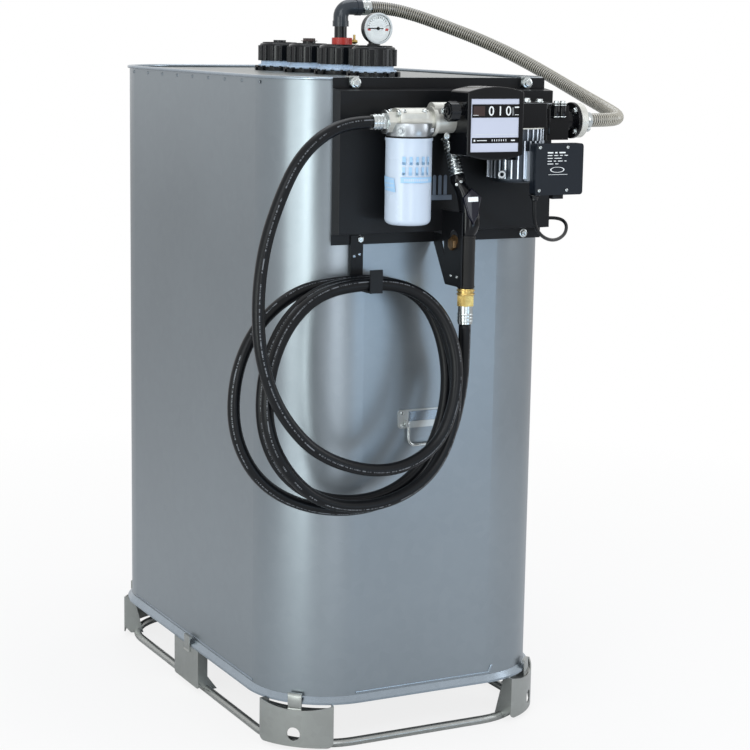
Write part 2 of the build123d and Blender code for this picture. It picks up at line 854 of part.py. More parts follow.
# Terminal box with a groove under its lid
box_front = Plane(
    origin=(box_left + box_width / 2, box_face_y, box_foot + box_height / 2),
    x_dir=(1, 0, 0),
    z_dir=(0, -1, 0),
)
with BuildPart() as terminal_box:
    with BuildSketch(box_front):
        RectangleRounded(box_width, box_height, box_corner_radius)
    extrude(amount=-box_lid_depth)
    with BuildSketch(box_front.offset(-box_lid_depth)):
        RectangleRounded(
            box_width - 2 * box_lid_groove, box_height - 2 * box_lid_groove, box_corner_radius
        )
    extrude(amount=-box_lid_groove)
    with BuildSketch(box_front.offset(-box_lid_depth - box_lid_groove)):
        RectangleRounded(box_width, box_height, box_corner_radius)
    extrude(amount=-(box_depth - box_lid_depth - box_lid_groove))
terminal_box.part.label = "terminal_box"
export_step(terminal_box.part, "parts/terminal_box.step")

# Power cable from the terminal box round to the panel's side flange
cable_out = (box_left + gland_inset, box_face_y + gland_lead, box_foot - gland_height)
cable_in = (panel_right + gland_height, rail_face_y - side_gland_lead, panel_foot + side_gland_lift)
with BuildPart() as cable_glands:
    with BuildSketch(Plane(origin=cable_out)):
        Circle(gland_diameter / 2)
    extrude(amount=gland_height)
    with BuildSketch(Plane(origin=cable_in, x_dir=(0, 1, 0), z_dir=(-1, 0, 0))):
        Circle(gland_diameter / 2)
    extrude(amount=gland_height)
cable_glands.part.label = "cable_glands"
export_step(cable_glands.part, "parts/cable_glands.step")

cable_bow = [
    (150, 192, 1262),
    (160, 182, 1232),
    (188, 163, 1208),
    (230, 135, 1193),
    (276, 100, 1190),
    (316, 68, 1200),
    (334, 43, 1220),
    (324, 23, 1232),
]
cable_route = [cable_out, *off_front(cable_bow), cable_in]
cable_radii = route_radii(cable_route)
print("power cable radii", [round(radius) for radius in cable_radii])
with BuildPart() as power_cable:
    with BuildLine() as cable_path:
        FilletPolyline(*cable_route, radius=cable_radii)
    cable_start = (Vector(*cable_route[1]) - Vector(*cable_route[0])).normalized()
    with BuildSketch(Plane(origin=cable_out, z_dir=cable_start)):
        Circle(power_cable_diameter / 2)
    sweep()
power_cable.part.label = "power_cable"
export_step(power_cable.part, "parts/power_cable.step")
cable_section = math.pi * power_cable_diameter**2 / 4
cable_line = sum(edge.length for edge in cable_path.edges())
print("power cable length", round(cable_line), "volume ratio",
      round(power_cable.part.volume / (cable_section * cable_line), 4))

# Flow meter: a housing with bowed top and bottom, a recessed face and a knob shaft
meter_mid_x = (meter_left + meter_right) / 2
meter_front = Plane(origin=(0, meter_face_y, 0), x_dir=(1, 0, 0), z_dir=(0, -1, 0))
face_window = Plane(
    origin=(face_centre_x, meter_face_y, face_centre_z), x_dir=(1, 0, 0), z_dir=(0, -1, 0)
)
meter_side = Plane(origin=(meter_left, knob_y, knob_z), x_dir=(0, 1, 0), z_dir=(-1, 0, 0))
with BuildPart() as meter_body:
    with BuildSketch(meter_front):
        with BuildLine():
            Line((meter_left, meter_foot), (meter_left, meter_head))
            ThreePointArc(
                (meter_left, meter_head),
                (meter_mid_x, meter_head + meter_bulge),
                (meter_right, meter_head),
            )
            Line((meter_right, meter_head), (meter_right, meter_foot))
            ThreePointArc(
                (meter_right, meter_foot),
                (meter_mid_x, meter_foot - meter_bulge),
                (meter_left, meter_foot),
            )
        make_face()
    extrude(amount=meter_face_y - meter_back_y)
    fillet(meter_body.edges().filter_by(Axis.Y), meter_edge_radius)
    fillet(meter_body.faces().sort_by(Axis.Y)[0].edges(), 3)
    with BuildSketch(face_window):
        Rectangle(face_width, face_height)
    extrude(amount=-face_recess, mode=Mode.SUBTRACT)
    with BuildSketch(Plane(origin=(0, meter_back_y, 0), x_dir=(1, 0, 0), z_dir=(0, -1, 0))):
        with Locations((meter_mid_x, (meter_rear_foot + meter_rear_head) / 2)):
            Rectangle(meter_right - meter_left, meter_rear_head - meter_rear_foot)
    extrude(amount=-meter_rear_depth)
    with BuildSketch(meter_side):
        Circle(knob_shaft_diameter / 2 + 3)
    extrude(amount=knob_standoff - 1)
    with BuildSketch(meter_side):
        Circle(knob_shaft_diameter / 2)
    extrude(amount=knob_standoff + knob_width - 5)
meter_body.part.label = "meter_body"
export_step(meter_body.part, "parts/meter_body.step")

with BuildPart() as meter_face:
    with BuildSketch(face_window.offset(-face_recess)):
        Rectangle(face_width - 2 * seat, face_height - 2 * seat)
    extrude(amount=face_plate)
meter_face.part.label = "meter_face"
export_step(meter_face.part, "parts/meter_face.step")

# Reset knob that turns on the meter's shaft
knob_back = meter_side.offset(knob_standoff)
with BuildPart() as reset_knob:
    with BuildSketch(knob_back):
        Circle(knob_diameter / 2 - knob_lug_radius / 2)
        with PolarLocations(knob_diameter / 2 - knob_lug_radius, knob_lug_count):
            Circle(knob_lug_radius)
    extrude(amount=knob_width)
    with BuildSketch(knob_back):
        Circle(knob_shaft_diameter / 2 + knob_bore_clearance)
    extrude(amount=knob_width - 4, mode=Mode.SUBTRACT)
reset_knob.part.label = "reset_knob"
export_step(reset_knob.part, "parts/reset_knob.step")

# Cast elbow between the meter and the filter head
filter_axis = Plane(origin=(meter_left, flow_y, flow_z), x_dir=(0, 1, 0), z_dir=(-1, 0, 0))
elbow_length = meter_left - filter_x - port_reach_right
with BuildPart() as outlet_elbow:
    with BuildSketch(filter_axis):
        Circle(elbow_joint_diameter / 2)
    extrude(amount=elbow_length)
    with BuildSketch(filter_axis.offset(8)):
        with Locations((0, -elbow_lobe_rise)):
            Circle(elbow_lobe_diameter / 2)
    extrude(amount=elbow_length - 12)
    with BuildSketch(filter_axis.offset(elbow_length)):
        Circle(port_flange_diameter / 2)
    extrude(amount=-port_flange_thickness)
outlet_elbow.part.label = "outlet_elbow"
export_step(outlet_elbow.part, "parts/outlet_elbow.step")

# Filter head with a port on each side
filter_base = Plane(origin=(filter_x, flow_y, can_head))
with BuildPart() as filter_head:
    with BuildSketch(filter_base):
        Circle(head_disc_diameter / 2)
    extrude(amount=head_disc_height)
    with BuildSketch(filter_base.offset(head_disc_height)):
        RectangleRounded(head_block_width, head_block_depth, 10)
    extrude(amount=head_block_height)
    fillet(filter_head.edges().group_by(Axis.Z)[-1], 5)
    port_axis = Plane(origin=(filter_x, flow_y, flow_z), x_dir=(0, 1, 0), z_dir=(1, 0, 0))
    with BuildSketch(port_axis.offset(-port_reach_left)):
        Circle(port_diameter / 2)
    extrude(amount=port_reach_left + port_reach_right)
    with BuildSketch(port_axis.offset(-head_block_width / 2)):
        Circle(port_diameter / 2 + 8)
    extrude(amount=head_block_width)
    with BuildSketch(port_axis.offset(-port_reach_left)):
        RegularPolygon(union_diameter / 2, 6)
    extrude(amount=union_length)
filter_head.part.label = "filter_head"
export_step(filter_head.part, "parts/filter_head.step")

# Spin-on filter can
with BuildPart() as filter_can:
    with BuildSketch(Plane(origin=(filter_x, flow_y, can_foot))):
        Circle(can_diameter / 2)
    extrude(amount=can_head - can_foot)
    fillet(filter_can.edges().group_by(Axis.Z)[0], can_edge_radius)
    with BuildSketch(Plane(origin=(filter_x, flow_y, can_head - can_seam_height))):
        Circle(can_diameter / 2 + can_seam_overhang)
    extrude(amount=can_seam_height)
filter_can.part.label = "filter_can"
export_step(filter_can.part, "parts/filter_can.step")

# Crimped ferrules at both ends of the delivery hose
hose_start_x = filter_x - port_reach_left
hose_start = Plane(origin=(hose_start_x, flow_y, flow_z), x_dir=(0, 1, 0), z_dir=(-1, 0, 0))
nozzle_base = Plane(origin=(nozzle_x, nozzle_y, 0))
with BuildPart() as hose_ferrules:
    with BuildSketch(hose_start):
        Circle(ferrule_diameter / 2)
    extrude(amount=ferrule_length)
    with BuildSketch(nozzle_base.offset(nozzle_ferrule_foot)):
        Circle(ferrule_diameter / 2)
    extrude(amount=swivel_foot - nozzle_ferrule_foot)
hose_ferrules.part.label = "hose_ferrules"
export_step(hose_ferrules.part, "parts/hose_ferrules.step")

# Delivery hose: three loose turns over the hook, then up to the nozzle
delivery_coils = [
    (-345, 127, 1436),
    (-405, 138, 1386),
    (-449, 147, 1312),
    (-491, 156, 1208),
    (-509, 163, 1088),
    (-503, 169, 964),
    (-456, 171, 843),
    (-358, 171, 740),
    (-197, 171, 692),
    (-72, 169, 738),
    (-20, 163, 846),
    (-12, 145, 962),
    (-50, 117, 1058),
    (-132, 94, 1106),
    (-268, 92, 1106),
    (-352, 97, 1080),
    (-420, 109, 1018),
    (-464, 123, 924),
    (-472, 133, 808),
    (-424, 137, 706),
    (-334, 137, 628),
    (-200, 137, 612),
    (-80, 135, 656),
    (-15, 131, 747),
    (3, 126, 861),
    (-6, 101, 977),
    (-46, 78, 1066),
    (-134, 62, 1106),
    (-266, 60, 1106),
    (-347, 65, 1080),
    (-417, 77, 1018),
    (-462, 91, 926),
    (-471, 101, 803),
    (-426, 106, 701),
    (-335, 106, 634),
    (-199, 106, 618),
    (-90, 104, 664),
    (-31, 99, 752),
    (0, 89, 860),
    (-6, 70, 972),
    (-44, 45, 1062),
    (-134, 30, 1106),
    (-262, 28, 1106),
    (-362, 33, 1090),
    (-458, 45, 1024),
    (-516, 59, 918),
    (-522, 68, 786),
    (-460, 73, 672),
    (-338, 75, 605),
    (-185, 78, 591),
    (-48, 82, 652),
    (14, 86, 750),
    (37, 89, 866),
]
delivery_route = [
    (hose_start_x - ferrule_length, flow_y, flow_z),
    (hose_start_x - ferrule_length - hose_lead_in, flow_y, flow_z),
    *off_front(delivery_coils),
    (nozzle_x, nozzle_y, nozzle_ferrule_foot - nozzle_lead_in),
    (nozzle_x, nozzle_y, nozzle_ferrule_foot),
]
delivery_radii = route_radii(delivery_route)
print("delivery hose radii", [round(radius) for radius in delivery_radii])
with BuildPart() as delivery_hose:
    with BuildLine() as delivery_path:
        FilletPolyline(*delivery_route, radius=delivery_radii)
    with BuildSketch(hose_start.offset(ferrule_length)):
        Circle(delivery_hose_diameter / 2)
    sweep()
delivery_hose.part.label = "delivery_hose"
export_step(delivery_hose.part, "parts/delivery_hose.step")
delivery_section = math.pi * delivery_hose_diameter**2 / 4
delivery_line = sum(edge.length for edge in delivery_path.edges())
print("delivery hose length", round(delivery_line), "volume ratio",
      round(delivery_hose.part.volume / (delivery_section * delivery_line), 4))

# Flat-bar hook that the hose hangs on
hook_back_y = rail_face_y
hook_side = Plane(origin=(hook_left, 0, 0), x_dir=(0, 1, 0), z_dir=(1, 0, 0))
with BuildPart() as hose_hook:
    with BuildSketch(hook_side):
        with BuildLine():
            Polyline(
                (hook_back_y, hook_head),
                (hook_back_y, hook_tongue_z),
                (hook_back_y - hook_reach, hook_tongue_z),
                (hook_back_y - hook_reach, hook_tongue_z + hook_lip_height),
            )
            offset(amount=hook_sheet, side=Side.RIGHT)
        make_face()
    extrude(amount=hook_width)
hose_hook.part.label = "hose_hook"
export_step(hose_hook.part, "parts/hose_hook.step")

# Folded holder beside the nozzle, braced back to the lower rail
holder_x = nozzle_x - grip_diameter / 2 - seat - holder_sheet
notch_y = rail_face_y - holder_notch_back
holder_side = Plane(origin=(holder_x, 0, 0), x_dir=(0, 1, 0), z_dir=(1, 0, 0))
with BuildPart() as nozzle_holder:
    with BuildSketch(holder_side):
        with BuildLine():
            Polyline(
                (rail_face_y - seat, lower_rail_head - 2),
                (rail_face_y - seat, lower_rail_head - rail_height),
                (rail_face_y - holder_heel, holder_foot),
                (holder_front_y, holder_foot),
                (holder_front_y, holder_head),
                (panel_face_y - seat, holder_head),
                (panel_face_y - seat, lower_rail_head - 2),
                close=True,
            )
        make_face()
        with BuildLine():
            Polyline(
                (notch_y, lower_rail_head - holder_notch_head),
                (notch_y - holder_notch_depth, lower_rail_head - holder_notch_head),
                (notch_y - holder_notch_depth, lower_rail_head - holder_notch_foot),
                close=True,
            )
        make_face(mode=Mode.SUBTRACT)
        with Locations((holder_hole_y, holder_hole_z)):
            Circle(holder_hole_diameter / 2, mode=Mode.SUBTRACT)
    extrude(amount=holder_sheet)
nozzle_holder.part.label = "nozzle_holder"
export_step(nozzle_holder.part, "parts/nozzle_holder.step")

# Nozzle: rubber grip, brass swivel, cast body and sprung spout
with BuildPart() as nozzle_grip:
    with BuildSketch(nozzle_base.offset(grip_foot)):
        Circle(grip_diameter / 2)
    extrude(amount=grip_head - grip_foot)
    fillet(nozzle_grip.edges().group_by(Axis.Z)[0], 3)
nozzle_grip.part.label = "nozzle_grip"
export_step(nozzle_grip.part, "parts/nozzle_grip.step")

with BuildPart() as nozzle_swivel:
    with BuildSketch(nozzle_base.offset(swivel_foot)):
        RegularPolygon(swivel_diameter / 2, 6)
    extrude(amount=swivel_hex_height)
    with BuildSketch(nozzle_base.offset(swivel_foot + swivel_hex_height)):
        Circle(grip_diameter / 2 - 1)
    extrude(amount=swivel_length - swivel_hex_height)
nozzle_swivel.part.label = "nozzle_swivel"
export_step(nozzle_swivel.part, "parts/nozzle_swivel.step")

spout_route = [
    (nozzle_x - 16, nozzle_y + 21, grip_head + 126),
    (nozzle_x - 20, nozzle_y + 37, grip_head + 174),
    (nozzle_x - 28, nozzle_y + 51, grip_head + 217),
]
spout_root = Vector(*spout_route[0])
spout_lean = (Vector(*spout_route[1]) - spout_root).normalized()
spout_seat = Plane(origin=spout_root, z_dir=spout_lean)
with BuildPart() as nozzle_body:
    with BuildSketch(nozzle_base.offset(grip_head)):
        Circle(grip_diameter / 2 - 1.5)
    with BuildSketch(nozzle_base.offset(grip_head + belly_rise)):
        with Locations((4, -1)):
            Ellipse(belly_width / 2, belly_depth / 2)
    with BuildSketch(
        Plane(origin=(nozzle_x - 4, nozzle_y + 7, grip_head + shoulder_rise), z_dir=(-0.1, 0.25, 0.96))
    ):
        Ellipse(shoulder_width / 2, shoulder_depth / 2)
    with BuildSketch(spout_seat.offset(-spigot_length)):
        Circle(spigot_diameter / 2)
    loft()
    with BuildSketch(spout_seat.offset(-spigot_length)):
        Circle(spigot_diameter / 2)
    extrude(amount=spigot_length)
nozzle_body.part.label = "nozzle_body"
export_step(nozzle_body.part, "parts/nozzle_body.step")

with BuildPart() as nozzle_spout:
    with BuildLine():
        FilletPolyline(*spout_route, radius=spout_bend_radius)
    with BuildSketch(spout_seat):
        Circle(spout_diameter / 2)
    sweep()
    chamfer(nozzle_spout.edges().sort_by(Axis.Z)[-1], spout_tip_chamfer)
nozzle_spout.part.label = "nozzle_spout"
export_step(nozzle_spout.part, "parts/nozzle_spout.step")

# Carrying handles: a ribbed plate with two ears, and a wire bail that swings out
bail_y = tank_length / 2 + handle_plate_sheet + bail_stand_off
ear_reach = bail_stand_off + bail_wire / 2 + 3
for end_name, end_sign in (("front", -1), ("rear", 1)):
    end_face = Plane(
        origin=(0, end_sign * tank_length / 2, 0), x_dir=(-end_sign, 0, 0), z_dir=(0, end_sign, 0)
    )
    plate_mid_z = handle_plate_foot + handle_plate_height / 2
    with BuildPart() as handle_plate:
        with BuildSketch(end_face):
            with Locations((0, plate_mid_z)):
                RectangleRounded(handle_plate_width, handle_plate_height, handle_plate_radius)
        extrude(amount=handle_plate_sheet)
        with BuildSketch(end_face.offset(handle_plate_sheet)):
            with Locations(
                (bail_half_width + ear_gap + ear_thickness / 2 + bail_wire / 2, bail_pivot_z),
                (-bail_half_width - ear_gap - ear_thickness / 2 - bail_wire / 2, bail_pivot_z),
            ):
                Rectangle(ear_thickness, ear_height)
        extrude(amount=ear_reach)
        pin_line = Plane(
            origin=(-tank_width / 2, end_sign * bail_y, bail_pivot_z), x_dir=(0, 1, 0), z_dir=(1, 0, 0)
        )
        with BuildSketch(pin_line):
            Circle(bail_wire / 2 + bail_pin_clearance)
        extrude(amount=tank_width, mode=Mode.SUBTRACT)
    handle_plate.part.label = f"{end_name}_handle_plate"
    export_step(handle_plate.part, f"parts/{end_name}_handle_plate.step")

    pin_end = bail_half_width + bail_wire / 2 + ear_gap + ear_thickness + 2
    with BuildPart() as handle_bail:
        with BuildLine():
            FilletPolyline(
                (-pin_end, end_sign * bail_y, bail_pivot_z),
                (-bail_half_width, end_sign * bail_y, bail_pivot_z),
                (-bail_half_width, end_sign * bail_y, bail_pivot_z - bail_drop),
                (bail_half_width, end_sign * bail_y, bail_pivot_z - bail_drop),
                (bail_half_width, end_sign * bail_y, bail_pivot_z),
                (pin_end, end_sign * bail_y, bail_pivot_z),
                radius=[bail_wire * 0.6, bail_bend_radius, bail_bend_radius, bail_wire * 0.6],
            )
        with BuildSketch(
            Plane(
                origin=(-pin_end, end_sign * bail_y, bail_pivot_z), x_dir=(0, 1, 0), z_dir=(1, 0, 0)
            )
        ):
            Circle(bail_wire / 2)
        sweep()
    handle_bail.part.label = f"{end_name}_handle_bail"
    export_step(handle_bail.part, f"parts/{end_name}_handle_bail.step")

# Ring of bent tube that the tank stands on
ring_half_width = tank_width / 2 - base_tube_offset
ring_half_length = tank_length / 2 - base_tube_offset
ring_corner = corner_radius - base_tube_offset
ring_z = base_tube_diameter / 2
with BuildPart() as base_ring:
    with BuildLine():
        FilletPolyline(
            (0, -ring_half_length, ring_z),
            (ring_half_width, -ring_half_length, ring_z),
            (ring_half_width, ring_half_length, ring_z),
            (0, ring_half_length, ring_z),
            radius=ring_corner,
        )
    with BuildSketch(Plane(origin=(0, -ring_half_length, ring_z), x_dir=(0, 1, 0), z_dir=(1, 0, 0))):
        Circle(base_tube_diameter / 2)
    sweep()
    mirror(about=Plane.YZ)
base_ring.part.label = "base_ring"
export_step(base_ring.part, "parts/base_ring.step")

# Pressed feet: a plate with a scooped top edge, a shelf behind it and two flanges on the tube
foot_outer = corner_radius + foot_overhang
shelf_top = wall_foot - foot_scoop - shelf_step
saddle_radius = base_tube_diameter / 2 + seat
saddle_out = corner_radius - base_tube_offset
corner_axis = Axis((arc_x, arc_y, 0), (0, 0, 1))


def corner_plane(angle):
    """Upright plane through a corner's centre line, its x axis pointing outwards."""
    turn = math.radians(angle)
    outwards = (math.cos(turn), math.sin(turn), 0)
    across = (math.sin(turn), -math.cos(turn), 0)
    return Plane(origin=(arc_x, arc_y, 0), x_dir=outwards, z_dir=across)


foot_start = 45 - foot_half_angle
foot_end = 45 + foot_half_angle
corner_outwards = Plane(
    origin=(arc_x, arc_y, 0), x_dir=(0, 0, 1), z_dir=(math.sqrt(0.5), math.sqrt(0.5), 0)
)
with BuildPart() as corner_feet:
    with BuildSketch(corner_plane(foot_start)):
        with BuildLine():
            Polyline(
                (foot_outer, foot_bottom),
                (foot_outer, wall_foot),
                (foot_outer - foot_sheet, wall_foot),
                (foot_outer - foot_sheet, shelf_top),
                (foot_outer - shelf_depth, shelf_top),
                (foot_outer - shelf_depth, shelf_top - foot_sheet),
                (foot_outer - foot_sheet, shelf_top - foot_sheet),
                (foot_outer - foot_sheet, foot_bottom),
                close=True,
            )
        make_face()
    revolve(axis=corner_axis, revolution_arc=2 * foot_half_angle)
    fillet(corner_feet.edges().group_by(Axis.Z)[0].sort_by(SortBy.LENGTH)[:2], foot_corner_radius)
    with BuildSketch(corner_outwards.offset(corner_radius / 2)):
        with Locations((wall_foot - foot_scoop + foot_scoop_radius, 0)):
            Circle(foot_scoop_radius)
    extrude(amount=corner_radius, mode=Mode.SUBTRACT)
    for flange_angle, inward in ((foot_start, -1), (foot_end, 1)):
        with BuildSketch(corner_plane(flange_angle)):
            with BuildLine():
                Polyline(
                    (foot_outer - flange_head_depth, wall_foot),
                    (foot_outer - flange_foot_depth, ring_z),
                    (foot_outer - flange_corner, ring_z),
                    (foot_outer - foot_sheet / 2, foot_bottom + flange_corner),
                    (foot_outer - foot_sheet / 2, wall_foot),
                    close=True,
                )
            make_face()
            with Locations((saddle_out, ring_z)):
                Circle(saddle_radius, mode=Mode.SUBTRACT)
        extrude(amount=inward * foot_sheet)
    with BuildSketch(corner_outwards.offset(corner_radius / 2)):
        with Locations((foot_hole_z, 0)):
            Circle(foot_hole_diameter / 2)
    extrude(amount=corner_radius, mode=Mode.SUBTRACT)
    mirror(about=Plane.YZ)
    mirror(about=Plane.XZ)
corner_feet.part.label = "corner_feet"
export_step(corner_feet.part, "parts/corner_feet.step")

mid_face_x = tank_width / 2 + mid_foot_overhang
with BuildPart() as mid_feet:
    with BuildSketch(Plane.YZ.offset(mid_face_x - foot_sheet)):
        with Locations((0, (mid_foot_bottom + wall_foot) / 2)):
            Rectangle(mid_foot_width, wall_foot - mid_foot_bottom)
    extrude(amount=foot_sheet)
    fillet(mid_feet.edges().filter_by(Axis.X).group_by(Axis.Z)[0], foot_corner_radius / 2)
    with BuildSketch(Plane.XY.offset(shelf_top - foot_sheet)):
        with Locations((mid_face_x - shelf_depth / 2, 0)):
            Rectangle(shelf_depth, mid_foot_width)
    extrude(amount=foot_sheet)
    for flange_y in (-mid_foot_width / 2 + foot_sheet, mid_foot_width / 2):
        with BuildSketch(Plane.XZ.offset(-flange_y)):
            with BuildLine():
                Polyline(
                    (mid_face_x - flange_head_depth, wall_foot),
                    (mid_face_x - flange_head_depth, mid_waist_z),
                    (mid_face_x - flange_foot_depth, ring_z),
                    (mid_face_x - flange_corner, ring_z),
                    (mid_face_x - foot_sheet / 2, mid_foot_bottom + flange_corner),
                    (mid_face_x - foot_sheet / 2, wall_foot),
                    close=True,
                )
            make_face()
            with Locations((ring_half_width, ring_z)):
                Circle(saddle_radius, mode=Mode.SUBTRACT)
        extrude(amount=foot_sheet)
    mirror(about=Plane.YZ)
mid_feet.part.label = "mid_feet"
export_step(mid_feet.part, "parts/mid_feet.step")
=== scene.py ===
# %% [markdown]
# # A bunded diesel tank, dressed for its portrait
# The tank arrives as finished solids, in metres, from a CAD program. This lesson gives it
# the looks: galvanised steel, powder coat, rubber, brass, and the small pieces that a CAD
# model leaves out. The first cell loads the solids as a fixed frame.

# %% Load the frame
import bpy
import bmesh
import json
import math
from mathutils import Matrix, Vector

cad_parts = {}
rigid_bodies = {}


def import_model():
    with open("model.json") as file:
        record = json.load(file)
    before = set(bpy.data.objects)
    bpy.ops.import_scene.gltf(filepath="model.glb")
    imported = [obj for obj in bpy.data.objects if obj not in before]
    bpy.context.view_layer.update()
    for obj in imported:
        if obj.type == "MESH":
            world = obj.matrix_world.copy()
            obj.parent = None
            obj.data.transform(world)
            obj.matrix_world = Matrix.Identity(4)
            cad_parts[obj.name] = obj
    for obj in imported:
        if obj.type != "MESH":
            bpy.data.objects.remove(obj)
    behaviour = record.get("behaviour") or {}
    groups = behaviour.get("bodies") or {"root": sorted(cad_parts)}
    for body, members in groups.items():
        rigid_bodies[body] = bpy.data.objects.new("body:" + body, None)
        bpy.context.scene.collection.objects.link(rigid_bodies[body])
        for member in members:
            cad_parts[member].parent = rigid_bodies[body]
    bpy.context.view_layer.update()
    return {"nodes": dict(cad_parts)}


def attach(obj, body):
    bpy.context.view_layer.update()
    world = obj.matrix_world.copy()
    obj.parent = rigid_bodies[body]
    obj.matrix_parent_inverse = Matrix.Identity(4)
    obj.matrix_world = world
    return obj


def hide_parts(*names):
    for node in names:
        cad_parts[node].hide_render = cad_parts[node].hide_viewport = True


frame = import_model()
nodes = frame["nodes"]
bpy.ops.object.select_all(action="DESELECT")

# %% [markdown]
# The camera comes first, because everything after it is judged through it. A photographer
# stands a little above the tank's top and looks past its narrow front, so the camera gets
# a compass direction, a tilt and a touch of roll, and its axes are worked out from those.

# %% Camera
turn, tilt, roll = (math.radians(angle) for angle in (27.4674, 9.9933, 0.9525))
focal_pixels, picture_pixels, film_width = 1991.198, 750, 36
ahead = Vector((math.sin(turn) * math.cos(tilt), math.cos(turn) * math.cos(tilt), -math.sin(tilt)))
level = Vector((math.cos(turn), -math.sin(turn), 0))
upright = level.cross(ahead)
across = level * math.cos(roll) + upright * math.sin(roll)
above = upright * math.cos(roll) - level * math.sin(roll)
bpy.ops.object.camera_add(location=(-2.2015, -4.5366, 1.6711))
camera = bpy.context.object
axes = Matrix((across, above, -ahead)).transposed().to_4x4()
camera.matrix_world = Matrix.Translation(camera.location) @ axes
camera.data.sensor_width = film_width
camera.data.lens = focal_pixels * film_width / picture_pixels
bpy.context.scene.camera = camera
print("camera looks along", [round(part, 3) for part in ahead])

# %% [markdown]
# Materials and the world are graphs of nodes. A few helpers add a node, join it up, and hand
# back the socket that the next one needs.

# %% Node helpers


def node_tree(owner):
    """An empty node tree on a material or world."""
    owner.use_nodes = True
    tree = owner.node_tree
    tree.nodes.clear()
    return tree


def add_node(tree, kind, **inputs):
    """Add a node; an input is a value or another node's output, and i0 is its first socket."""
    node = tree.nodes.new(kind)
    for name, value in inputs.items():
        by_number = name[0] == "i" and name[1:].isdigit()
        socket = node.inputs[int(name[1:]) if by_number else name.replace("_", " ")]
        if isinstance(value, bpy.types.NodeSocket):
            tree.links.new(value, socket)
        else:
            socket.default_value = value
    return node


def maths(tree, operation, first, second=0.0):
    node = add_node(tree, "ShaderNodeMath", i0=first, i1=second)
    node.operation = operation
    return node.outputs[0]


def ranged(tree, value, low, high, to_low=0.0, to_high=1.0):
    """The value moved from one range to another, and kept inside it."""
    node = add_node(tree, "ShaderNodeMapRange", Value=value)
    for name, number in (("From Min", low), ("From Max", high), ("To Min", to_low), ("To Max", to_high)):
        node.inputs[name].default_value = number
    return node.outputs[0]


def length_of(tree, vector):
    node = add_node(tree, "ShaderNodeVectorMath", i0=vector)
    node.operation = "LENGTH"
    return node.outputs["Value"]


# %% [markdown]
# A plain studio: a pale floor, a white world and soft lamps. A metal shows what stands
# around it, so the world is white for glossy rays too. The floor is diffuse, and plain
# white takes over with distance, so that it runs into the white behind it.

# %% Floor and world
bpy.context.scene.view_settings.view_transform = "Standard"
floor_finish = bpy.data.materials.new("pale_floor")
tree = node_tree(floor_finish)
matt = add_node(tree, "ShaderNodeBsdfDiffuse", Color=(0.85, 0.85, 0.86, 1))
white = add_node(tree, "ShaderNodeEmission", Color=(1, 1, 1, 1), Strength=1.0)
from_middle = length_of(tree, tree.nodes.new("ShaderNodeTexCoord").outputs["Object"])
fading = ranged(tree, from_middle, 0.7, 3.2, 0.82, 1.0)
mixed = add_node(tree, "ShaderNodeMixShader", Fac=fading, i1=matt.outputs[0], i2=white.outputs[0])
camera_ray = tree.nodes.new("ShaderNodeLightPath").outputs["Is Camera Ray"]
seen = add_node(tree, "ShaderNodeMixShader", Fac=camera_ray, i1=matt.outputs[0], i2=mixed.outputs[0])
add_node(tree, "ShaderNodeOutputMaterial", Surface=seen.outputs[0])
bpy.ops.mesh.primitive_plane_add(size=60, location=(0, 0, 0))
floor = bpy.context.object
floor.name = "studio_floor"
floor.data.materials.append(floor_finish)

world = bpy.data.worlds.new("studio")
bpy.context.scene.world = world
tree = node_tree(world)
rays = tree.nodes.new("ShaderNodeLightPath").outputs
plain_sight = maths(tree, "MAXIMUM", rays["Is Camera Ray"], rays["Is Glossy Ray"])
plain_sight = maths(tree, "MAXIMUM", plain_sight, rays["Is Transmission Ray"])
strength = ranged(tree, plain_sight, 0.0, 1.0, 0.62, 1.0)
sky = add_node(tree, "ShaderNodeBackground", Color=(1, 1, 1, 1), Strength=strength)
add_node(tree, "ShaderNodeOutputWorld", Surface=sky.outputs[0])
print("floor and world", floor.name, world.name)

# %% [markdown]
# Three large lamps light the whole tank. The other four stand where the steel mirrors them:
# a tall strip gives the round corner its upright bright band, a low bluish panel cools the
# front wall, and two sheets brighten the long side. All of them look at the tank's middle.

# %% Lamps
daylight, cool_light, green_light = (0.90, 0.95, 1.0), (0.54, 0.77, 1.0), (0.90, 0.97, 0.94)
tank_middle = Vector((0, 0, 0.9))
for title, place, wide, high, power, colour in (
    ("key_lamp", (-2.6, -3.4, 3.4), 2.2, 2.2, 50, daylight),
    ("side_lamp", (3.6, -2.4, 2.2), 2.0, 2.0, 34, daylight),
    ("top_lamp", (0.4, 0.6, 4.6), 2.4, 2.4, 44, daylight),
    ("corner_strip", (-1.25, -5.2, 1.2), 1.5, 3.2, 41, daylight),
    ("front_panel", (1.6, -4.9, 0.40), 1.8, 0.55, 12, cool_light),
    ("left_sheet", (-3.7, -1.7, 0.9), 2.3, 1.9, 34, green_light),
    ("left_strip", (-2.9, -2.3, 1.0), 0.55, 2.0, 15, green_light),
):
    bpy.ops.object.light_add(type="AREA", location=place)
    lamp = bpy.context.object
    lamp.name = title
    lamp.data.shape = "RECTANGLE"
    lamp.data.size = wide
    lamp.data.size_y = high
    lamp.data.energy = power
    lamp.data.color = colour
    lamp.rotation_euler = (tank_middle - Vector(place)).to_track_quat("-Z", "Y").to_euler()
    print(title, power, "W")

# %% [markdown]
# Cords are next. A hose is one smooth NURBS line through its route's control points. The
# line is read back as points, and a tube is skinned along them with its own UV map: U runs
# along the hose in metres and V once round it, so prints and ribs can follow the hose.

# %% Lines and tubes


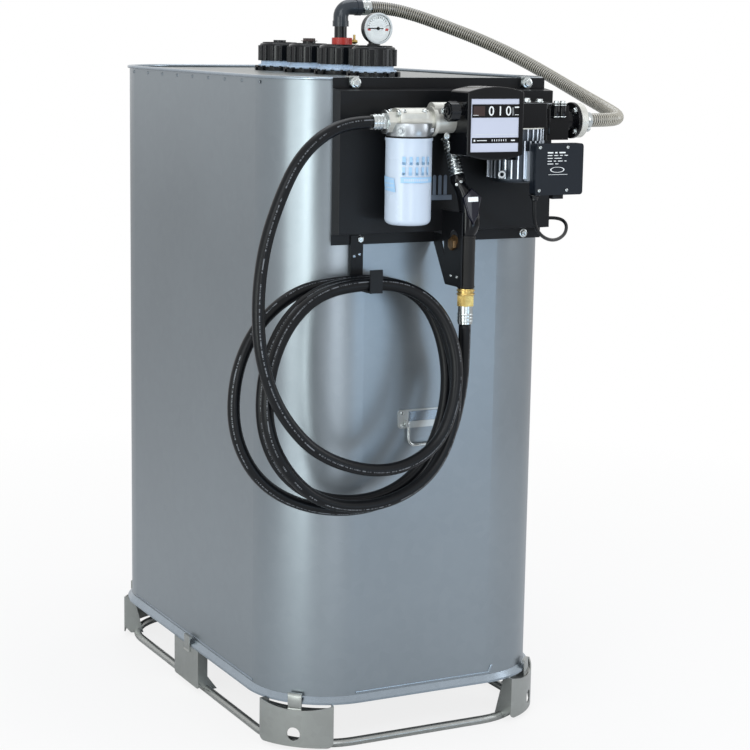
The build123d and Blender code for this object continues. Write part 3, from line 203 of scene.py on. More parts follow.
def smooth_line(route, resolution=10):
    """Points along one open NURBS spline whose control points are the route, in metres."""
    data = bpy.data.curves.new("line", "CURVE")
    data.dimensions = "3D"
    data.resolution_u = resolution
    spline = data.splines.new("NURBS")
    spline.points.add(len(route) - 1)
    for point, place in zip(spline.points, route):
        point.co = (*place, 1)
    spline.order_u = 3
    spline.use_endpoint_u = True
    holder = bpy.data.objects.new("line", data)
    bpy.context.scene.collection.objects.link(holder)
    bpy.context.view_layer.update()
    shown = holder.evaluated_get(bpy.context.evaluated_depsgraph_get())
    mesh = bpy.data.meshes.new_from_object(shown)
    line = [vertex.co.copy() for vertex in mesh.vertices]
    bpy.data.objects.remove(holder)
    bpy.data.meshes.remove(mesh)
    return line


def line_length(line):
    return sum((b - a).length for a, b in zip(line, line[1:]))


def resampled(line, step):
    """The same line with even steps, for a tube whose ribs are geometry."""
    total = line_length(line)
    count = max(2, round(total / step))
    points, travelled, index = [], 0.0, 0
    for stop in [total * i / count for i in range(count + 1)]:
        while index < len(line) - 2 and travelled + (line[index + 1] - line[index]).length < stop:
            travelled += (line[index + 1] - line[index]).length
            index += 1
        run = line[index + 1] - line[index]
        points.append(line[index] + run * min(1.0, (stop - travelled) / max(run.length, 1e-9)))
    return points


def skin_tube(title, line, radius, sides, facing, swell=lambda along, angle: 0.0):
    """A closed tube along the line, with U in metres along it and V once round it."""
    mesh = bpy.data.meshes.new(title)
    form = bmesh.new()
    uv = form.loops.layers.uv.new("along_and_round")
    rings, lengths, side_axis, travelled = [], [], facing.copy(), 0.0
    for index, point in enumerate(line):
        before, after = line[max(index - 1, 0)], line[min(index + 1, len(line) - 1)]
        heading = (after - before).normalized()
        side_axis = (side_axis - heading * side_axis.dot(heading)).normalized()
        other_axis = heading.cross(side_axis)
        if index:
            travelled += (point - line[index - 1]).length
        ring = []
        for step in range(sides):
            angle = 2 * math.pi * step / sides
            reach = radius + swell(travelled, angle)
            place = point + side_axis * math.cos(angle) * reach + other_axis * math.sin(angle) * reach
            ring.append(form.verts.new(place))
        rings.append(ring)
        lengths.append(travelled)
    for index, (first, second) in enumerate(zip(rings, rings[1:])):
        near, far = lengths[index], lengths[index + 1]
        for step in range(sides):
            following = (step + 1) % sides
            face = form.faces.new((first[step], first[following], second[following], second[step]))
            face.smooth = True
            low, high = step / sides, (step + 1) / sides
            for loop, place in zip(face.loops, ((near, low), (near, high), (far, high), (far, low))):
                loop[uv].uv = place
    form.faces.new(list(reversed(rings[0])))
    form.faces.new(rings[-1])
    bmesh.ops.recalc_face_normals(form, faces=form.faces)
    form.to_mesh(mesh)
    form.free()
    piece = bpy.data.objects.new(title, mesh)
    bpy.context.scene.collection.objects.link(piece)
    return piece


# %% [markdown]
# The delivery hose hangs in three loose turns over a flat hook. Its route starts in the
# crimped ferrule by the filter, and ends in the one under the nozzle. No turn has the same
# size as the next, because nothing ties them.

# %% Delivery hose
toward_front = Vector((0, -1, 0))
delivery_route = [
    (-0.222, -0.692, 1.463), (-0.275, -0.692, 1.463), (-0.345, -0.702, 1.436), (-0.405, -0.713, 1.386),
    (-0.449, -0.722, 1.312), (-0.491, -0.731, 1.208), (-0.509, -0.738, 1.088), (-0.503, -0.744, 0.964),
    (-0.456, -0.746, 0.843), (-0.358, -0.746, 0.740), (-0.197, -0.746, 0.692), (-0.072, -0.744, 0.738),
    (-0.020, -0.738, 0.846), (-0.012, -0.720, 0.962), (-0.050, -0.692, 1.058), (-0.132, -0.669, 1.106),
    (-0.268, -0.667, 1.106), (-0.352, -0.672, 1.080), (-0.420, -0.684, 1.018), (-0.464, -0.698, 0.924),
    (-0.472, -0.708, 0.808), (-0.424, -0.712, 0.706), (-0.334, -0.712, 0.628), (-0.200, -0.712, 0.612),
    (-0.080, -0.710, 0.656), (-0.015, -0.706, 0.747), (0.003, -0.701, 0.861), (-0.006, -0.676, 0.977),
    (-0.046, -0.653, 1.066), (-0.134, -0.637, 1.106), (-0.266, -0.635, 1.106), (-0.347, -0.640, 1.080),
    (-0.417, -0.652, 1.018), (-0.462, -0.666, 0.926), (-0.471, -0.676, 0.803), (-0.426, -0.681, 0.701),
    (-0.335, -0.681, 0.634), (-0.199, -0.681, 0.618), (-0.090, -0.679, 0.664), (-0.031, -0.674, 0.752),
    (0.000, -0.664, 0.860), (-0.006, -0.645, 0.972), (-0.044, -0.620, 1.062), (-0.134, -0.605, 1.106),
    (-0.262, -0.603, 1.106), (-0.362, -0.608, 1.090), (-0.458, -0.620, 1.024), (-0.516, -0.634, 0.918),
    (-0.522, -0.643, 0.786), (-0.460, -0.648, 0.672), (-0.338, -0.650, 0.605), (-0.185, -0.653, 0.591),
    (-0.048, -0.657, 0.652), (0.014, -0.661, 0.750), (0.037, -0.664, 0.866), (0.020, -0.697, 0.962),
    (0.020, -0.697, 1.011),
]
delivery_line = smooth_line(delivery_route)
delivery_hose = skin_tube("fuel_hose", delivery_line, 0.01375, 24, toward_front)
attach(delivery_hose, "tank")
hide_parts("delivery_hose")
print("delivery hose", round(line_length(delivery_line), 2), "m")

# %% [markdown]
# The suction hose is a clear tube with a steel wire wound inside it. The wire makes it rise
# and fall, so the ribs are real geometry here: the radius swells with a helix, nearly six
# millimetres from one turn to the next.

# %% Suction hose
rib_pitch, rib_rise = 0.0058, 0.0006
suction_route = [
    (0.077, -0.088, 1.711), (0.128, -0.088, 1.711), (0.192, -0.116, 1.695), (0.255, -0.163, 1.668),
    (0.318, -0.220, 1.638), (0.378, -0.290, 1.600), (0.428, -0.370, 1.556), (0.460, -0.455, 1.516),
    (0.472, -0.538, 1.488), (0.464, -0.610, 1.472), (0.437, -0.662, 1.465), (0.387, -0.692, 1.463),
    (0.336, -0.692, 1.463),
]
suction_line = resampled(smooth_line(suction_route), 0.0011)
suction_hose = skin_tube(
    "spiral_hose", suction_line, 0.0153, 24, toward_front,
    swell=lambda along, angle: rib_rise * math.cos(2 * math.pi * along / rib_pitch + angle),
)
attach(suction_hose, "tank")
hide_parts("suction_hose")
print("suction hose", round(line_length(suction_line), 2), "m")

# %% [markdown]
# The power cable is thin and stiff: it leaves the terminal box downwards and runs in one
# bow round to the gland on the panel's side.

# %% Power cable
cable_route = [
    (0.150, -0.767, 1.291), (0.150, -0.767, 1.262), (0.160, -0.757, 1.232), (0.188, -0.738, 1.208),
    (0.230, -0.710, 1.193), (0.276, -0.675, 1.190), (0.316, -0.643, 1.200), (0.334, -0.618, 1.220),
    (0.324, -0.598, 1.232), (0.294, -0.598, 1.232),
]
cable_line = smooth_line(cable_route)
power_cable = skin_tube("pump_cable", cable_line, 0.004, 16, toward_front)
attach(power_cable, "tank")
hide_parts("power_cable")
print("power cable", round(line_length(cable_line), 2), "m")

# %% [markdown]
# Now the finishes. Effects that several materials share are node groups: each is built once
# and placed in every material that needs it, with its own values. Positions come from Object
# coordinates, which are metres here, because every piece keeps its place in its mesh.

# %% Shared effects


def effect_group(title, inputs, outputs):
    """An empty shader node group with named inputs (name, default) and outputs (name, kind)."""
    group = bpy.data.node_groups.new(title, "ShaderNodeTree")
    for name, default in inputs:
        kind = "NodeSocketFloat" if isinstance(default, float) else "NodeSocketColor"
        group.interface.new_socket(name, in_out="INPUT", socket_type=kind).default_value = default
    for name, kind in outputs:
        group.interface.new_socket(name, in_out="OUTPUT", socket_type=kind)
    place = group.nodes.new("ShaderNodeTexCoord").outputs["Object"]
    return group, place, group.nodes.new("NodeGroupInput").outputs, group.nodes.new("NodeGroupOutput").inputs


def sized_noise(tree, vector, scale):
    """A slow noise at a scale in features per metre."""
    noise = add_node(tree, "ShaderNodeTexNoise", Vector=vector, Scale=scale, Detail=2.0, Roughness=0.55)
    return noise.outputs[0]


def colour_mix(tree, factor, first, second):
    node = tree.nodes.new("ShaderNodeMix")
    node.data_type = "RGBA"
    for index, value in ((0, factor), (6, first), (7, second)):
        if isinstance(value, bpy.types.NodeSocket):
            tree.links.new(value, node.inputs[index])
        else:
            node.inputs[index].default_value = value
    return node.outputs[2]


# Zinc crystals: small cells, each a little lighter or darker, over a slow drift of the coat.
cell_share, drift_share = 0.16, 0.62
spangle, place, entry, leave = effect_group(
    "zinc_spangle", [("Light", (0.5, 0.5, 0.5, 1.0)), ("Dark", (0.4, 0.4, 0.4, 1.0)), ("Scale", 60.0)],
    [("Colour", "NodeSocketColor"), ("Height", "NodeSocketFloat"), ("Patches", "NodeSocketFloat")],
)
cells = add_node(spangle, "ShaderNodeTexVoronoi", Vector=place, Scale=entry["Scale"])
drift = sized_noise(spangle, place, 2.2)
shade = maths(
    spangle, "ADD", maths(spangle, "MULTIPLY", cells.outputs["Color"], cell_share),
    maths(spangle, "MULTIPLY", drift, drift_share),
)
colour = colour_mix(spangle, ranged(spangle, shade, 0.10, 0.66), entry["Dark"], entry["Light"])
spangle.links.new(colour, leave["Colour"])
spangle.links.new(sized_noise(spangle, place, 160.0), leave["Height"])
spangle.links.new(drift, leave["Patches"])

# Fine grain: the skin of powder coat, moulded plastic and cast metal.
grain, place, entry, leave = effect_group(
    "fine_grain", [("Scale", 900.0), ("Patch Scale", 9.0)],
    [("Grain", "NodeSocketFloat"), ("Patches", "NodeSocketFloat")],
)
for scale, detail, name in (("Scale", 2.0, "Grain"), ("Patch Scale", 4.0, "Patches")):
    noise = add_node(grain, "ShaderNodeTexNoise", Vector=place, Scale=entry[scale], Detail=detail)
    grain.links.new(noise.outputs[0], leave[name])
print("shared effects", [group.name for group in bpy.data.node_groups])

# %% [markdown]
# A finish is one Principled shader with a fine relief, and a slow patchiness in its colour
# and roughness, as real surfaces have. The numbers say how strong each is. The sheet's
# roughness keeps to one side of 0.274: where a slow drift crossed that value, thin lines
# showed in the picture.

# %% A finish maker


def finished(tree, colour, roughness, height, bump, **constants):
    """The end of every finish: the relief, the shader with its plain numbers, the output."""
    relief = add_node(tree, "ShaderNodeBump", Height=height, Strength=bump, Distance=0.001)
    shader = add_node(
        tree, "ShaderNodeBsdfPrincipled", Base_Color=colour, Roughness=roughness,
        Normal=relief.outputs[0], **constants,
    )
    add_node(tree, "ShaderNodeOutputMaterial", Surface=shader.outputs[0])


def new_tree(title, group):
    """A new material, its tree, and a shared effect placed in it."""
    material = bpy.data.materials.new(title)
    tree = node_tree(material)
    effect = tree.nodes.new("ShaderNodeGroup")
    effect.node_tree = group
    return material, tree, effect


def grained_finish(
    title, colour, rough, bump, metal=0.0, grain_scale=900.0, patch=0.12, patch_scale=9.0,
    rough_spread=0.1, specular=0.5,
):
    """A Principled material whose colour, roughness and skin vary over the surface."""
    material, tree, skin = new_tree(title, grain)
    skin.inputs["Scale"].default_value = grain_scale
    skin.inputs["Patch Scale"].default_value = patch_scale
    dark = (*(part * (1 - patch) for part in colour), 1)
    light = (*(min(1.0, part * (1 + patch)) for part in colour), 1)
    patches, half = skin.outputs["Patches"], rough_spread / 2
    finished(
        tree, colour_mix(tree, ranged(tree, patches, 0.3, 0.7), dark, light),
        ranged(tree, patches, 0.3, 0.7, rough + half, rough - half),
        skin.outputs["Grain"], bump, Metallic=metal, Specular_IOR_Level=specular,
    )
    return material


def spangled_finish(title, light, dark, scale, rough):
    """Galvanised sheet: crystals, a slow drift, and a soft shine."""
    material, tree, zinc = new_tree(title, spangle)
    zinc.inputs["Light"].default_value = (*light, 1)
    zinc.inputs["Dark"].default_value = (*dark, 1)
    zinc.inputs["Scale"].default_value = scale
    roughness = ranged(tree, zinc.outputs["Patches"], 0.25, 0.75, rough - 0.03, rough + 0.04)
    finished(tree, zinc.outputs["Colour"], roughness, zinc.outputs["Height"], 0.035, Metallic=0.85)
    return material


def plain_finish(title, **inputs):
    """One Principled shader with nothing that varies, but what is joined to it."""
    material = bpy.data.materials.new(title)
    tree = node_tree(material)
    shader = add_node(tree, "ShaderNodeBsdfPrincipled", **inputs)
    add_node(tree, "ShaderNodeOutputMaterial", Surface=shader.outputs[0])
    return material, tree, shader


# %% [markdown]
# The real tank has six shades of galvanised steel, several blacks that differ in gloss, and
# a few bright fittings. Each gets its own finish, named for where it is or what it is.

# %% Finishes
jacket_zinc = spangled_finish("galvanised_jacket", (0.258, 0.292, 0.320), (0.222, 0.253, 0.278), 45.0, 0.31)
roof_zinc = spangled_finish("galvanised_roof", (0.178, 0.195, 0.190), (0.122, 0.132, 0.126), 45.0, 0.31)
seam_zinc = spangled_finish("galvanised_seam", (0.32, 0.375, 0.43), (0.24, 0.28, 0.32), 60.0, 0.23)
foot_zinc = spangled_finish("galvanised_feet", (0.37, 0.385, 0.375), (0.285, 0.295, 0.28), 60.0, 0.31)
plate_zinc = spangled_finish("galvanised_plates", (0.52, 0.54, 0.54), (0.40, 0.42, 0.41), 60.0, 0.31)
tube_zinc = spangled_finish("galvanised_tube", (0.42, 0.43, 0.42), (0.26, 0.27, 0.26), 120.0, 0.31)
powder_black = grained_finish(
    "black_powder_coat", (0.0050, 0.0056, 0.0068), 0.34, 0.08, grain_scale=1100.0, specular=0.2,
)
gloss_black = grained_finish(
    "gloss_black_enamel", (0.0040, 0.0044, 0.0055), 0.11, 0.02, rough_spread=0.04, specular=0.22,
)
box_black = grained_finish("box_black", (0.0085, 0.0115, 0.0165), 0.34, 0.06, specular=0.22)
cap_black = grained_finish("moulded_black", (0.0040, 0.0052, 0.0072), 0.17, 0.03, rough_spread=0.05, specular=0.30)
rubber_black = grained_finish("hose_rubber", (0.0036, 0.0043, 0.0055), 0.32, 0.05, grain_scale=1600.0, specular=0.19)
grip_rubber = grained_finish("grip_rubber", (0.008, 0.0078, 0.0075), 0.45, 0.1, grain_scale=1600.0, specular=0.22)
cover_gloss = grained_finish("cover_gloss", (0.0035, 0.0040, 0.0110), 0.06, 0.01, rough_spread=0.02, specular=0.34)
cast = {"grain_scale": 1400.0, "patch_scale": 30.0}
cast_metal = grained_finish("cast_aluminium", (0.60, 0.60, 0.56), 0.42, 0.2, 0.7, **cast)
motor_metal = grained_finish("motor_casting", (0.33, 0.35, 0.37), 0.34, 0.2, 0.85, **cast)
ring_metal = grained_finish("machined_aluminium", (0.36, 0.38, 0.40), 0.30, 0.05, 0.9, grain_scale=1400.0)
bright_zinc = grained_finish("bright_zinc", (0.50, 0.53, 0.53), 0.22, 0.05, 1.0, patch_scale=40.0)
brass_finish = grained_finish("machined_brass", (0.52, 0.37, 0.13), 0.28, 0.05, 0.9, patch_scale=60.0)
bronze_finish = grained_finish("dull_bronze", (0.17, 0.105, 0.05), 0.36, 0.05, 0.8, patch_scale=60.0)
# Painted light: a dim bluish colour for a sheet behind the panel's slots, in place of the lit tank wall seen through
# them, and for a strip of painted highlight under them.
louvre_zinc = grained_finish("louvre_zinc", (0.105, 0.135, 0.18), 0.4, 0.02, 0.3)
white_enamel = grained_finish("white_enamel", (0.50, 0.58, 0.69), 0.28, 0.02, patch=0.02)
white_plate = grained_finish("white_plate", (0.50, 0.53, 0.64), 0.4, 0.02, patch=0.02)
dial_white = grained_finish("dial_white", (0.80, 0.83, 0.84), 0.4, 0.02, patch=0.02)
bezel_grey = grained_finish("bezel_pale", (0.58, 0.62, 0.64), 0.3, 0.03, patch=0.04)
tank_plastic = grained_finish("white_polyethylene", (0.54, 0.69, 0.88), 0.4, 0.05, patch=0.05)
red_plastic = grained_finish("red_fitting", (0.50, 0.03, 0.02), 0.32, 0.05, patch=0.08)
slate_plastic = grained_finish("slate_moulding", (0.024, 0.031, 0.041), 0.22, 0.03, specular=0.4)
red_brown = grained_finish("wheel_brown", (0.035, 0.018, 0.016), 0.4, 0.02, specular=0.3)
print_blue = grained_finish("print_blue", (0.30, 0.50, 0.72), 0.4, 0.02)
clear_glass, tree, shader = plain_finish("dial_glass", Base_Color=(0.97, 0.98, 0.98, 1), Roughness=0.04, IOR=1.1)
shader.inputs["Transmission Weight"].default_value = 1.0
print("finishes", len(bpy.data.materials))

# %% [markdown]
# Three finishes follow the form they lie on. The clear hose shows the wound wire: the same
# helix as its ribs, read from the hose's own UV. The delivery hose is printed along its
# outer side with fine dashes, and one long dash now and then. The motor gets painted shade,
# dark between its fins, and a painted highlight at their tips, by the distance from its axis.

# %% Finishes that follow the form


def hose_map(tree):
    """U tells how far along the hose a point is, in metres, and V how far round it."""
    return add_node(tree, "ShaderNodeSeparateXYZ", Vector=tree.nodes.new("ShaderNodeUVMap").outputs[0]).outputs


def chance(tree, along, step):
    """A random number for each step along the hose."""
    noise = tree.nodes.new("ShaderNodeTexWhiteNoise")
    noise.noise_dimensions = "1D"
    tree.links.new(maths(tree, "FLOOR", maths(tree, "MULTIPLY", along, 1 / step)), noise.inputs["W"])
    return noise.outputs["Value"]


def recoloured(source, title):
    """A copy of a finish with its tree and its colour socket, ready for another colour."""
    material = source.copy()
    material.name = title
    shader = next(node for node in material.node_tree.nodes if node.type == "BSDF_PRINCIPLED")
    return material, material.node_tree, shader.inputs["Base Color"]


ribbed_clear, tree, shader = plain_finish("clear_spiral_hose", Roughness=0.2, Coat_Weight=0.4)
along, around = hose_map(tree)[:2]
turns = maths(tree, "ADD", maths(tree, "MULTIPLY", along, 1 / rib_pitch), around)
wave = maths(tree, "SINE", maths(tree, "MULTIPLY", turns, 2 * math.pi))
blend = colour_mix(tree, ranged(tree, wave, 0.1, 0.35), (0.004, 0.004, 0.003, 1), (0.41, 0.385, 0.32, 1))
tree.links.new(blend, shader.inputs["Base Color"])

printed_rubber, tree, colour = recoloured(rubber_black, "printed_rubber")
print_at, print_half, dash, word, long_every = 0.06, 0.015, 0.0012, 0.023, 0.43
dash_share, gap_share, long_share = 0.5, 0.12, 0.055
along, around = hose_map(tree)[:2]
off_line = maths(tree, "ABSOLUTE", maths(tree, "SUBTRACT", around, print_at))
dashes = maths(
    tree, "MULTIPLY", maths(tree, "GREATER_THAN", chance(tree, along, dash), dash_share),
    maths(tree, "GREATER_THAN", chance(tree, along, word), gap_share),
)
long_dash = maths(tree, "FRACT", maths(tree, "MULTIPLY", along, 1 / long_every))
inked = maths(tree, "MAXIMUM", dashes, maths(tree, "LESS_THAN", long_dash, long_share))
fine_print = maths(tree, "MULTIPLY", maths(tree, "LESS_THAN", off_line, print_half), inked)
tree.links.new(colour_mix(tree, fine_print, colour.links[0].from_socket, (0.13, 0.14, 0.155, 1)), colour)

# Painted light on the motor: the dark colour is painted shade between the fins, and the pale one is a painted
# highlight on their tips.
motor_fins, tree, colour = recoloured(motor_metal, "motor_fins")
motor_x, motor_y, fin_foot, fin_tip = 0.147, -0.6865, 0.0590, 0.0625
spot = add_node(tree, "ShaderNodeMapping", Vector=tree.nodes.new("ShaderNodeTexCoord").outputs["Object"])
spot.inputs["Location"].default_value = (-motor_x, -motor_y, 0)
spot.inputs["Scale"].default_value = (1, 1, 0)
tip = ranged(tree, length_of(tree, spot.outputs[0]), fin_foot, fin_tip)
tree.links.new(colour_mix(tree, tip, (0.035, 0.042, 0.052, 1), (0.66, 0.72, 0.80, 1)), colour)
print("finishes", len(bpy.data.materials))

# %% [markdown]
# Every solid of the CAD model gets the finish of what it is made of. Its mesh and its place
# stay as they came.

# %% Finishes on the solids
finishes = {
    jacket_zinc: "tank_jacket tank_floor",
    roof_zinc: "tank_roof",
    seam_zinc: "bottom_rim top_rim",
    foot_zinc: "corner_feet mid_feet",
    plate_zinc: "front_handle_plate rear_handle_plate",
    tube_zinc: "base_ring",
    powder_black: "pump_panel hose_hook nozzle_holder",
    gloss_black: "meter_body pump_body nozzle_body inlet_flange",
    box_black: "terminal_box",
    cap_black: "neck_rings gauge_cap suction_cap vent_cap fill_cap cap_plugs level_gauge suction_riser"
    " cable_glands reset_knob",
    rubber_black: "panel_buffers delivery_hose power_cable",
    grip_rubber: "nozzle_grip",
    cast_metal: "filter_head outlet_elbow flange_ring",
    motor_fins: "pump_motor",
    bright_zinc: "rim_clamps hose_ferrules suction_clamps nozzle_spout front_handle_bail rear_handle_bail",
    brass_finish: "suction_valve nozzle_swivel",
    white_enamel: "filter_can",
    white_plate: "meter_face",
    dial_white: "gauge_dial",
    red_plastic: "suction_collar",
    slate_plastic: "suction_elbow",
    tank_plastic: "inner_tank",
    ribbed_clear: "suction_hose",
}
dressed = {name: material for material, names in finishes.items() for name in names.split()}
for name, material in dressed.items():
    nodes[name].data.materials.clear()
    nodes[name].data.materials.append(material)
print("nodes without a finish", sorted(set(nodes) - set(dressed)))
for hose, material in ((delivery_hose, printed_rubber), (suction_hose, ribbed_clear), (power_cable, rubber_black)):
    hose.data.materials.append(material)

# %% [markdown]
# ## The small pieces
# A CAD model leaves out what is bolted, printed and pressed on. Each small piece here starts
# as a primitive and gets its form in edit mode. What repeats is modelled once, standing on
# the origin and pointing up, and then copied to its places.

# %% Ways to shape and place


def fresh(operator, title, **settings):
    """Add one primitive with nothing else selected, and give it its name."""
    bpy.ops.object.select_all(action="DESELECT")
    operator(**settings)
    piece = bpy.context.object
    piece.name = piece.data.name = title + "_form"
    bpy.ops.object.transform_apply(location=True, rotation=True, scale=True)
    return piece


def drum(title, sides, radius, high, foot=0.0):
    """A cylinder round Z that stands at the height of its foot."""
    return fresh(
        bpy.ops.mesh.primitive_cylinder_add, title, vertices=sides, radius=radius, depth=high,
        location=(0, 0, foot + high / 2),
    )


def middle(item):
    points = [vertex.co for vertex in item.verts]
    return sum(points, Vector()) / len(points)


def shape(piece, *steps):
    """Edit-mode steps: what is picked, by which test on its middle, the operator and its settings."""
    bpy.ops.object.mode_set(mode="EDIT")
    for kind, test, operator, settings in steps:
        bpy.ops.mesh.select_mode(type=kind)
        bpy.ops.mesh.select_all(action="DESELECT")
        form = bmesh.from_edit_mesh(piece.data)
        for item in form.faces if kind == "FACE" else form.edges:
            if test(middle(item)):
                item.select_set(True)
        bmesh.update_edit_mesh(piece.data)
        operator(**settings)
    bpy.ops.mesh.select_mode(type="FACE")
    bpy.ops.mesh.select_all(action="SELECT")
    bpy.ops.mesh.normals_make_consistent(inside=False)
    bpy.ops.object.mode_set(mode="OBJECT")
    return piece


def bevel(test, offset, segments=2):
    """A step that rounds the edges whose middle passes the test."""
    return ("EDGE", test, bpy.ops.mesh.bevel, {"offset": offset, "segments": segments})


def inset(test, thickness):
    """A step that draws a border inside the faces whose middle passes the test."""
    return ("FACE", test, bpy.ops.mesh.inset, {"thickness": thickness})


def extrude(test, x=0.0, y=0.0, z=0.0):
    """A step that pulls the faces whose middle passes the test out along the axes."""
    return ("FACE", test, bpy.ops.mesh.extrude_region_move, {"TRANSFORM_OT_translate": {"value": (x, y, z)}})


def joined(*pieces):
    """One object made of several."""
    bpy.ops.object.select_all(action="DESELECT")
    for piece in pieces:
        piece.select_set(True)
    bpy.context.view_layer.objects.active = pieces[0]
    if len(pieces) > 1:
        bpy.ops.object.join()
    return bpy.context.object


to_left, to_right, to_top = (-1, 0, 0), (1, 0, 0), (0, 0, 1)


def stand(place, facing=(0, -1, 0), up=(0, 0, 1)):
    """The matrix that turns +Z to the facing and +Y to up, and moves to the place."""
    facing = Vector(facing).normalized()
    side = Vector(up).cross(facing).normalized()
    head = facing.cross(side)
    return Matrix.Translation(place) @ Matrix((side, head, facing)).transposed().to_4x4()


def upward(x, y, z):
    """The matrix of a piece that stands upright at a place."""
    return stand((x, y, z), to_top, (0, 1, 0))


def settle(piece, title, finish, body="tank"):
    """Name a piece, give it its finish and soft shading, and let it ride on its body."""
    piece.name = piece.data.name = title
    piece.data.materials.clear()
    piece.data.materials.append(finish)
    bpy.ops.object.select_all(action="DESELECT")
    piece.select_set(True)
    bpy.context.view_layer.objects.active = piece
    bpy.ops.object.shade_smooth_by_angle(angle=math.radians(35))
    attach(piece, body)
    print(title, len(piece.data.polygons), "faces")
    return piece


def spread(master, places, finish, title=None, body="tank"):
    """One copy of the master for each matrix, joined into one piece with its own or the master's name."""
    title = title or master.name.removesuffix("_form")
    copies = []
    for place in places:
        copy = bpy.data.objects.new(title, master.data.copy())
        copy.data.transform(place)
        bpy.context.scene.collection.objects.link(copy)
        copies.append(copy)
    return settle(joined(*copies), title, finish, body)


# %% [markdown]
# Four forms serve nearly every fitting: a hexagon head on its washer, a round screw head, a
# ring with rounded edges, and a small plate. Thin raised marks are plates too.

# %% Masters


def hex_head(title, across, height):
    """A bolt head with a chamfered top, on a washer."""
    washer_high = 0.0016
    top = washer_high + height
    flat = lambda m: m.z > top - 1e-5 and m.xy.length < 1e-5
    head = shape(
        drum(title, 6, across / 1.732, height, washer_high),
        bevel(lambda m: m.z > top - 1e-5, height * 0.16),
        inset(flat, across * 0.2),
        ("FACE", flat, bpy.ops.transform.translate, {"value": (0, 0, -height * 0.06)}),
    )
    washer = shape(drum(title, 28, across * 0.78, washer_high), bevel(lambda m: m.z > 0.0015, 0.0005))
    return joined(head, washer)


def screw_head(title, wide, height):
    """A low round head with a recess for its driver."""
    flat = lambda m: m.z > height - 1e-6 and m.xy.length < 1e-5
    return shape(
        drum(title, 24, wide / 2, height),
        bevel(lambda m: m.z > height - 1e-6, height * 0.55, 4),
        inset(flat, wide * 0.06),
        extrude(flat, z=-height * 0.5),
    )


def band(title, outer, wall, wide, sides=48, edge=0.0006):
    """A ring round Z with rounded edges, its foot on the origin."""
    at_end = lambda m: m.z < 1e-6 or m.z > wide - 1e-6
    flat = lambda m: at_end(m) and m.xy.length < outer * 0.3
    rim = lambda m: at_end(m) and min(abs(m.xy.length - outer), abs(m.xy.length - outer + wall)) < wall * 0.3
    return shape(
        drum(title, sides, outer, wide),
        inset(flat, wall),
        ("FACE", flat, bpy.ops.mesh.bridge_edge_loops, {}),
        bevel(rim, edge),
    )


def slab(title, wide, high, thick, edge=0.0004, centre=(0, 0)):
    """A plate in X and Y with its back on the origin's plane and a rounded front edge."""
    plate = fresh(
        bpy.ops.mesh.primitive_cube_add, title, size=1, scale=(wide, high, thick), location=(*centre, thick / 2),
    )
    return shape(plate, bevel(lambda m: m.z > thick - 1e-6, edge))


def marks(title, rows, finish):
    """Thin raised marks that face the front: each row is the middle and the size of one."""
    places = [stand(place) @ Matrix.Diagonal((wide, high, 1, 1)) for place, wide, high in rows]
    return spread(mark, places, finish, title)


m8_head = hex_head("m8_head", 0.013, 0.0055)
m10_head = hex_head("m10_head", 0.016, 0.0064)
m6_head = hex_head("m6_head", 0.010, 0.004)
lid_screw = screw_head("lid_screw", 0.0075, 0.0026)
mark = slab("mark", 1, 1, 0.0003, edge=0.00012)
print("masters", [piece.name for piece in (m10_head, m8_head, m6_head, lid_screw, mark)])

# %% [markdown]
# The panel hangs on the rim by two zinc clamps and is held off the tank by two bolts below.
# The pump set has its own bolts: on the pump's lid, on the suction flange and on the lid of
# the terminal box. Bright heads on black are what the eye finds first.

# %% Bolts and screws
pipe_y, pipe_z, can_x, box_face = -0.692, 1.463, -0.129, -0.784
spread(m10_head, [stand((x, -0.595, 1.5435)) for x in (-0.212, 0.229)], bright_zinc, "clamp_bolts")
spread(m8_head, [stand((x, -0.584, 1.197)) for x in (-0.191, 0.236)], bright_zinc, "panel_bolts")
lid_corners = [upward(x, y, 1.5055) for x in (0.152, 0.186) for y in (-0.718, -0.664)]
spread(m8_head, lid_corners, bright_zinc, "pump_lid_bolts")
flange_bolts = [
    stand((0.285, pipe_y + 0.032 * math.cos(a), pipe_z + 0.032 * math.sin(a)), to_left)
    for a in (math.pi * (0.25 + 0.5 * step) for step in range(4))
]
spread(m6_head, flange_bolts, bright_zinc, "flange_bolts")
box_corners = [stand((x, box_face, z)) for x in (0.1505, 0.2225) for z in (1.3135, 1.4085)]
spread(lid_screw, box_corners, bright_zinc, "lid_screws")
holder_places = [stand((-0.002, y, 1.117), to_left) for y in (-0.695, -0.668)]
spread(lid_screw, holder_places, bright_zinc, "holder_screws")
hook_places = [stand((-0.2065, -0.588, 1.160)), stand((-0.1935, -0.588, 1.164))]
spread(lid_screw, hook_places, seam_zinc, "hook_rivets")
head_corners = [upward(can_x + x, pipe_y + y, 1.485) for x in (-0.027, 0.027) for y in (-0.021, 0.021)]
spread(m6_head, head_corners, bright_zinc, "filter_head_bolts")

# %% [markdown]
# The meter's plate carries a black counter window with three wheels, a bare field where a
# maker would print, and a narrow totaliser strip. The wheels show plain digits. Digits
# are text turned to mesh.

# %% Meter plate
plate_x, plate_y, window_z, strip_z = 0.0475, -0.7635, 1.4885, 1.4245
window_field = lambda m: m.z > 0.00119 and abs(m.x) < 0.001
window = shape(
    slab("counter_window", 0.121, 0.029, 0.0012), inset(window_field, 0.0016), extrude(window_field, z=-0.0006),
)
window.data.transform(stand((plate_x, plate_y, window_z)))
settle(window, "counter_window", gloss_black)


def digit(character, place, size):
    """One raised digit as a mesh."""
    bpy.ops.object.select_all(action="DESELECT")
    bpy.ops.object.text_add(location=(0, 0, 0))
    text = bpy.context.object.data
    text.body = character
    text.size = size
    text.extrude = 0.0002
    text.offset = 0.0001
    text.align_x = text.align_y = "CENTER"
    bpy.ops.object.convert(target="MESH")
    piece = bpy.context.object
    piece.data.transform(stand(place))
    return piece


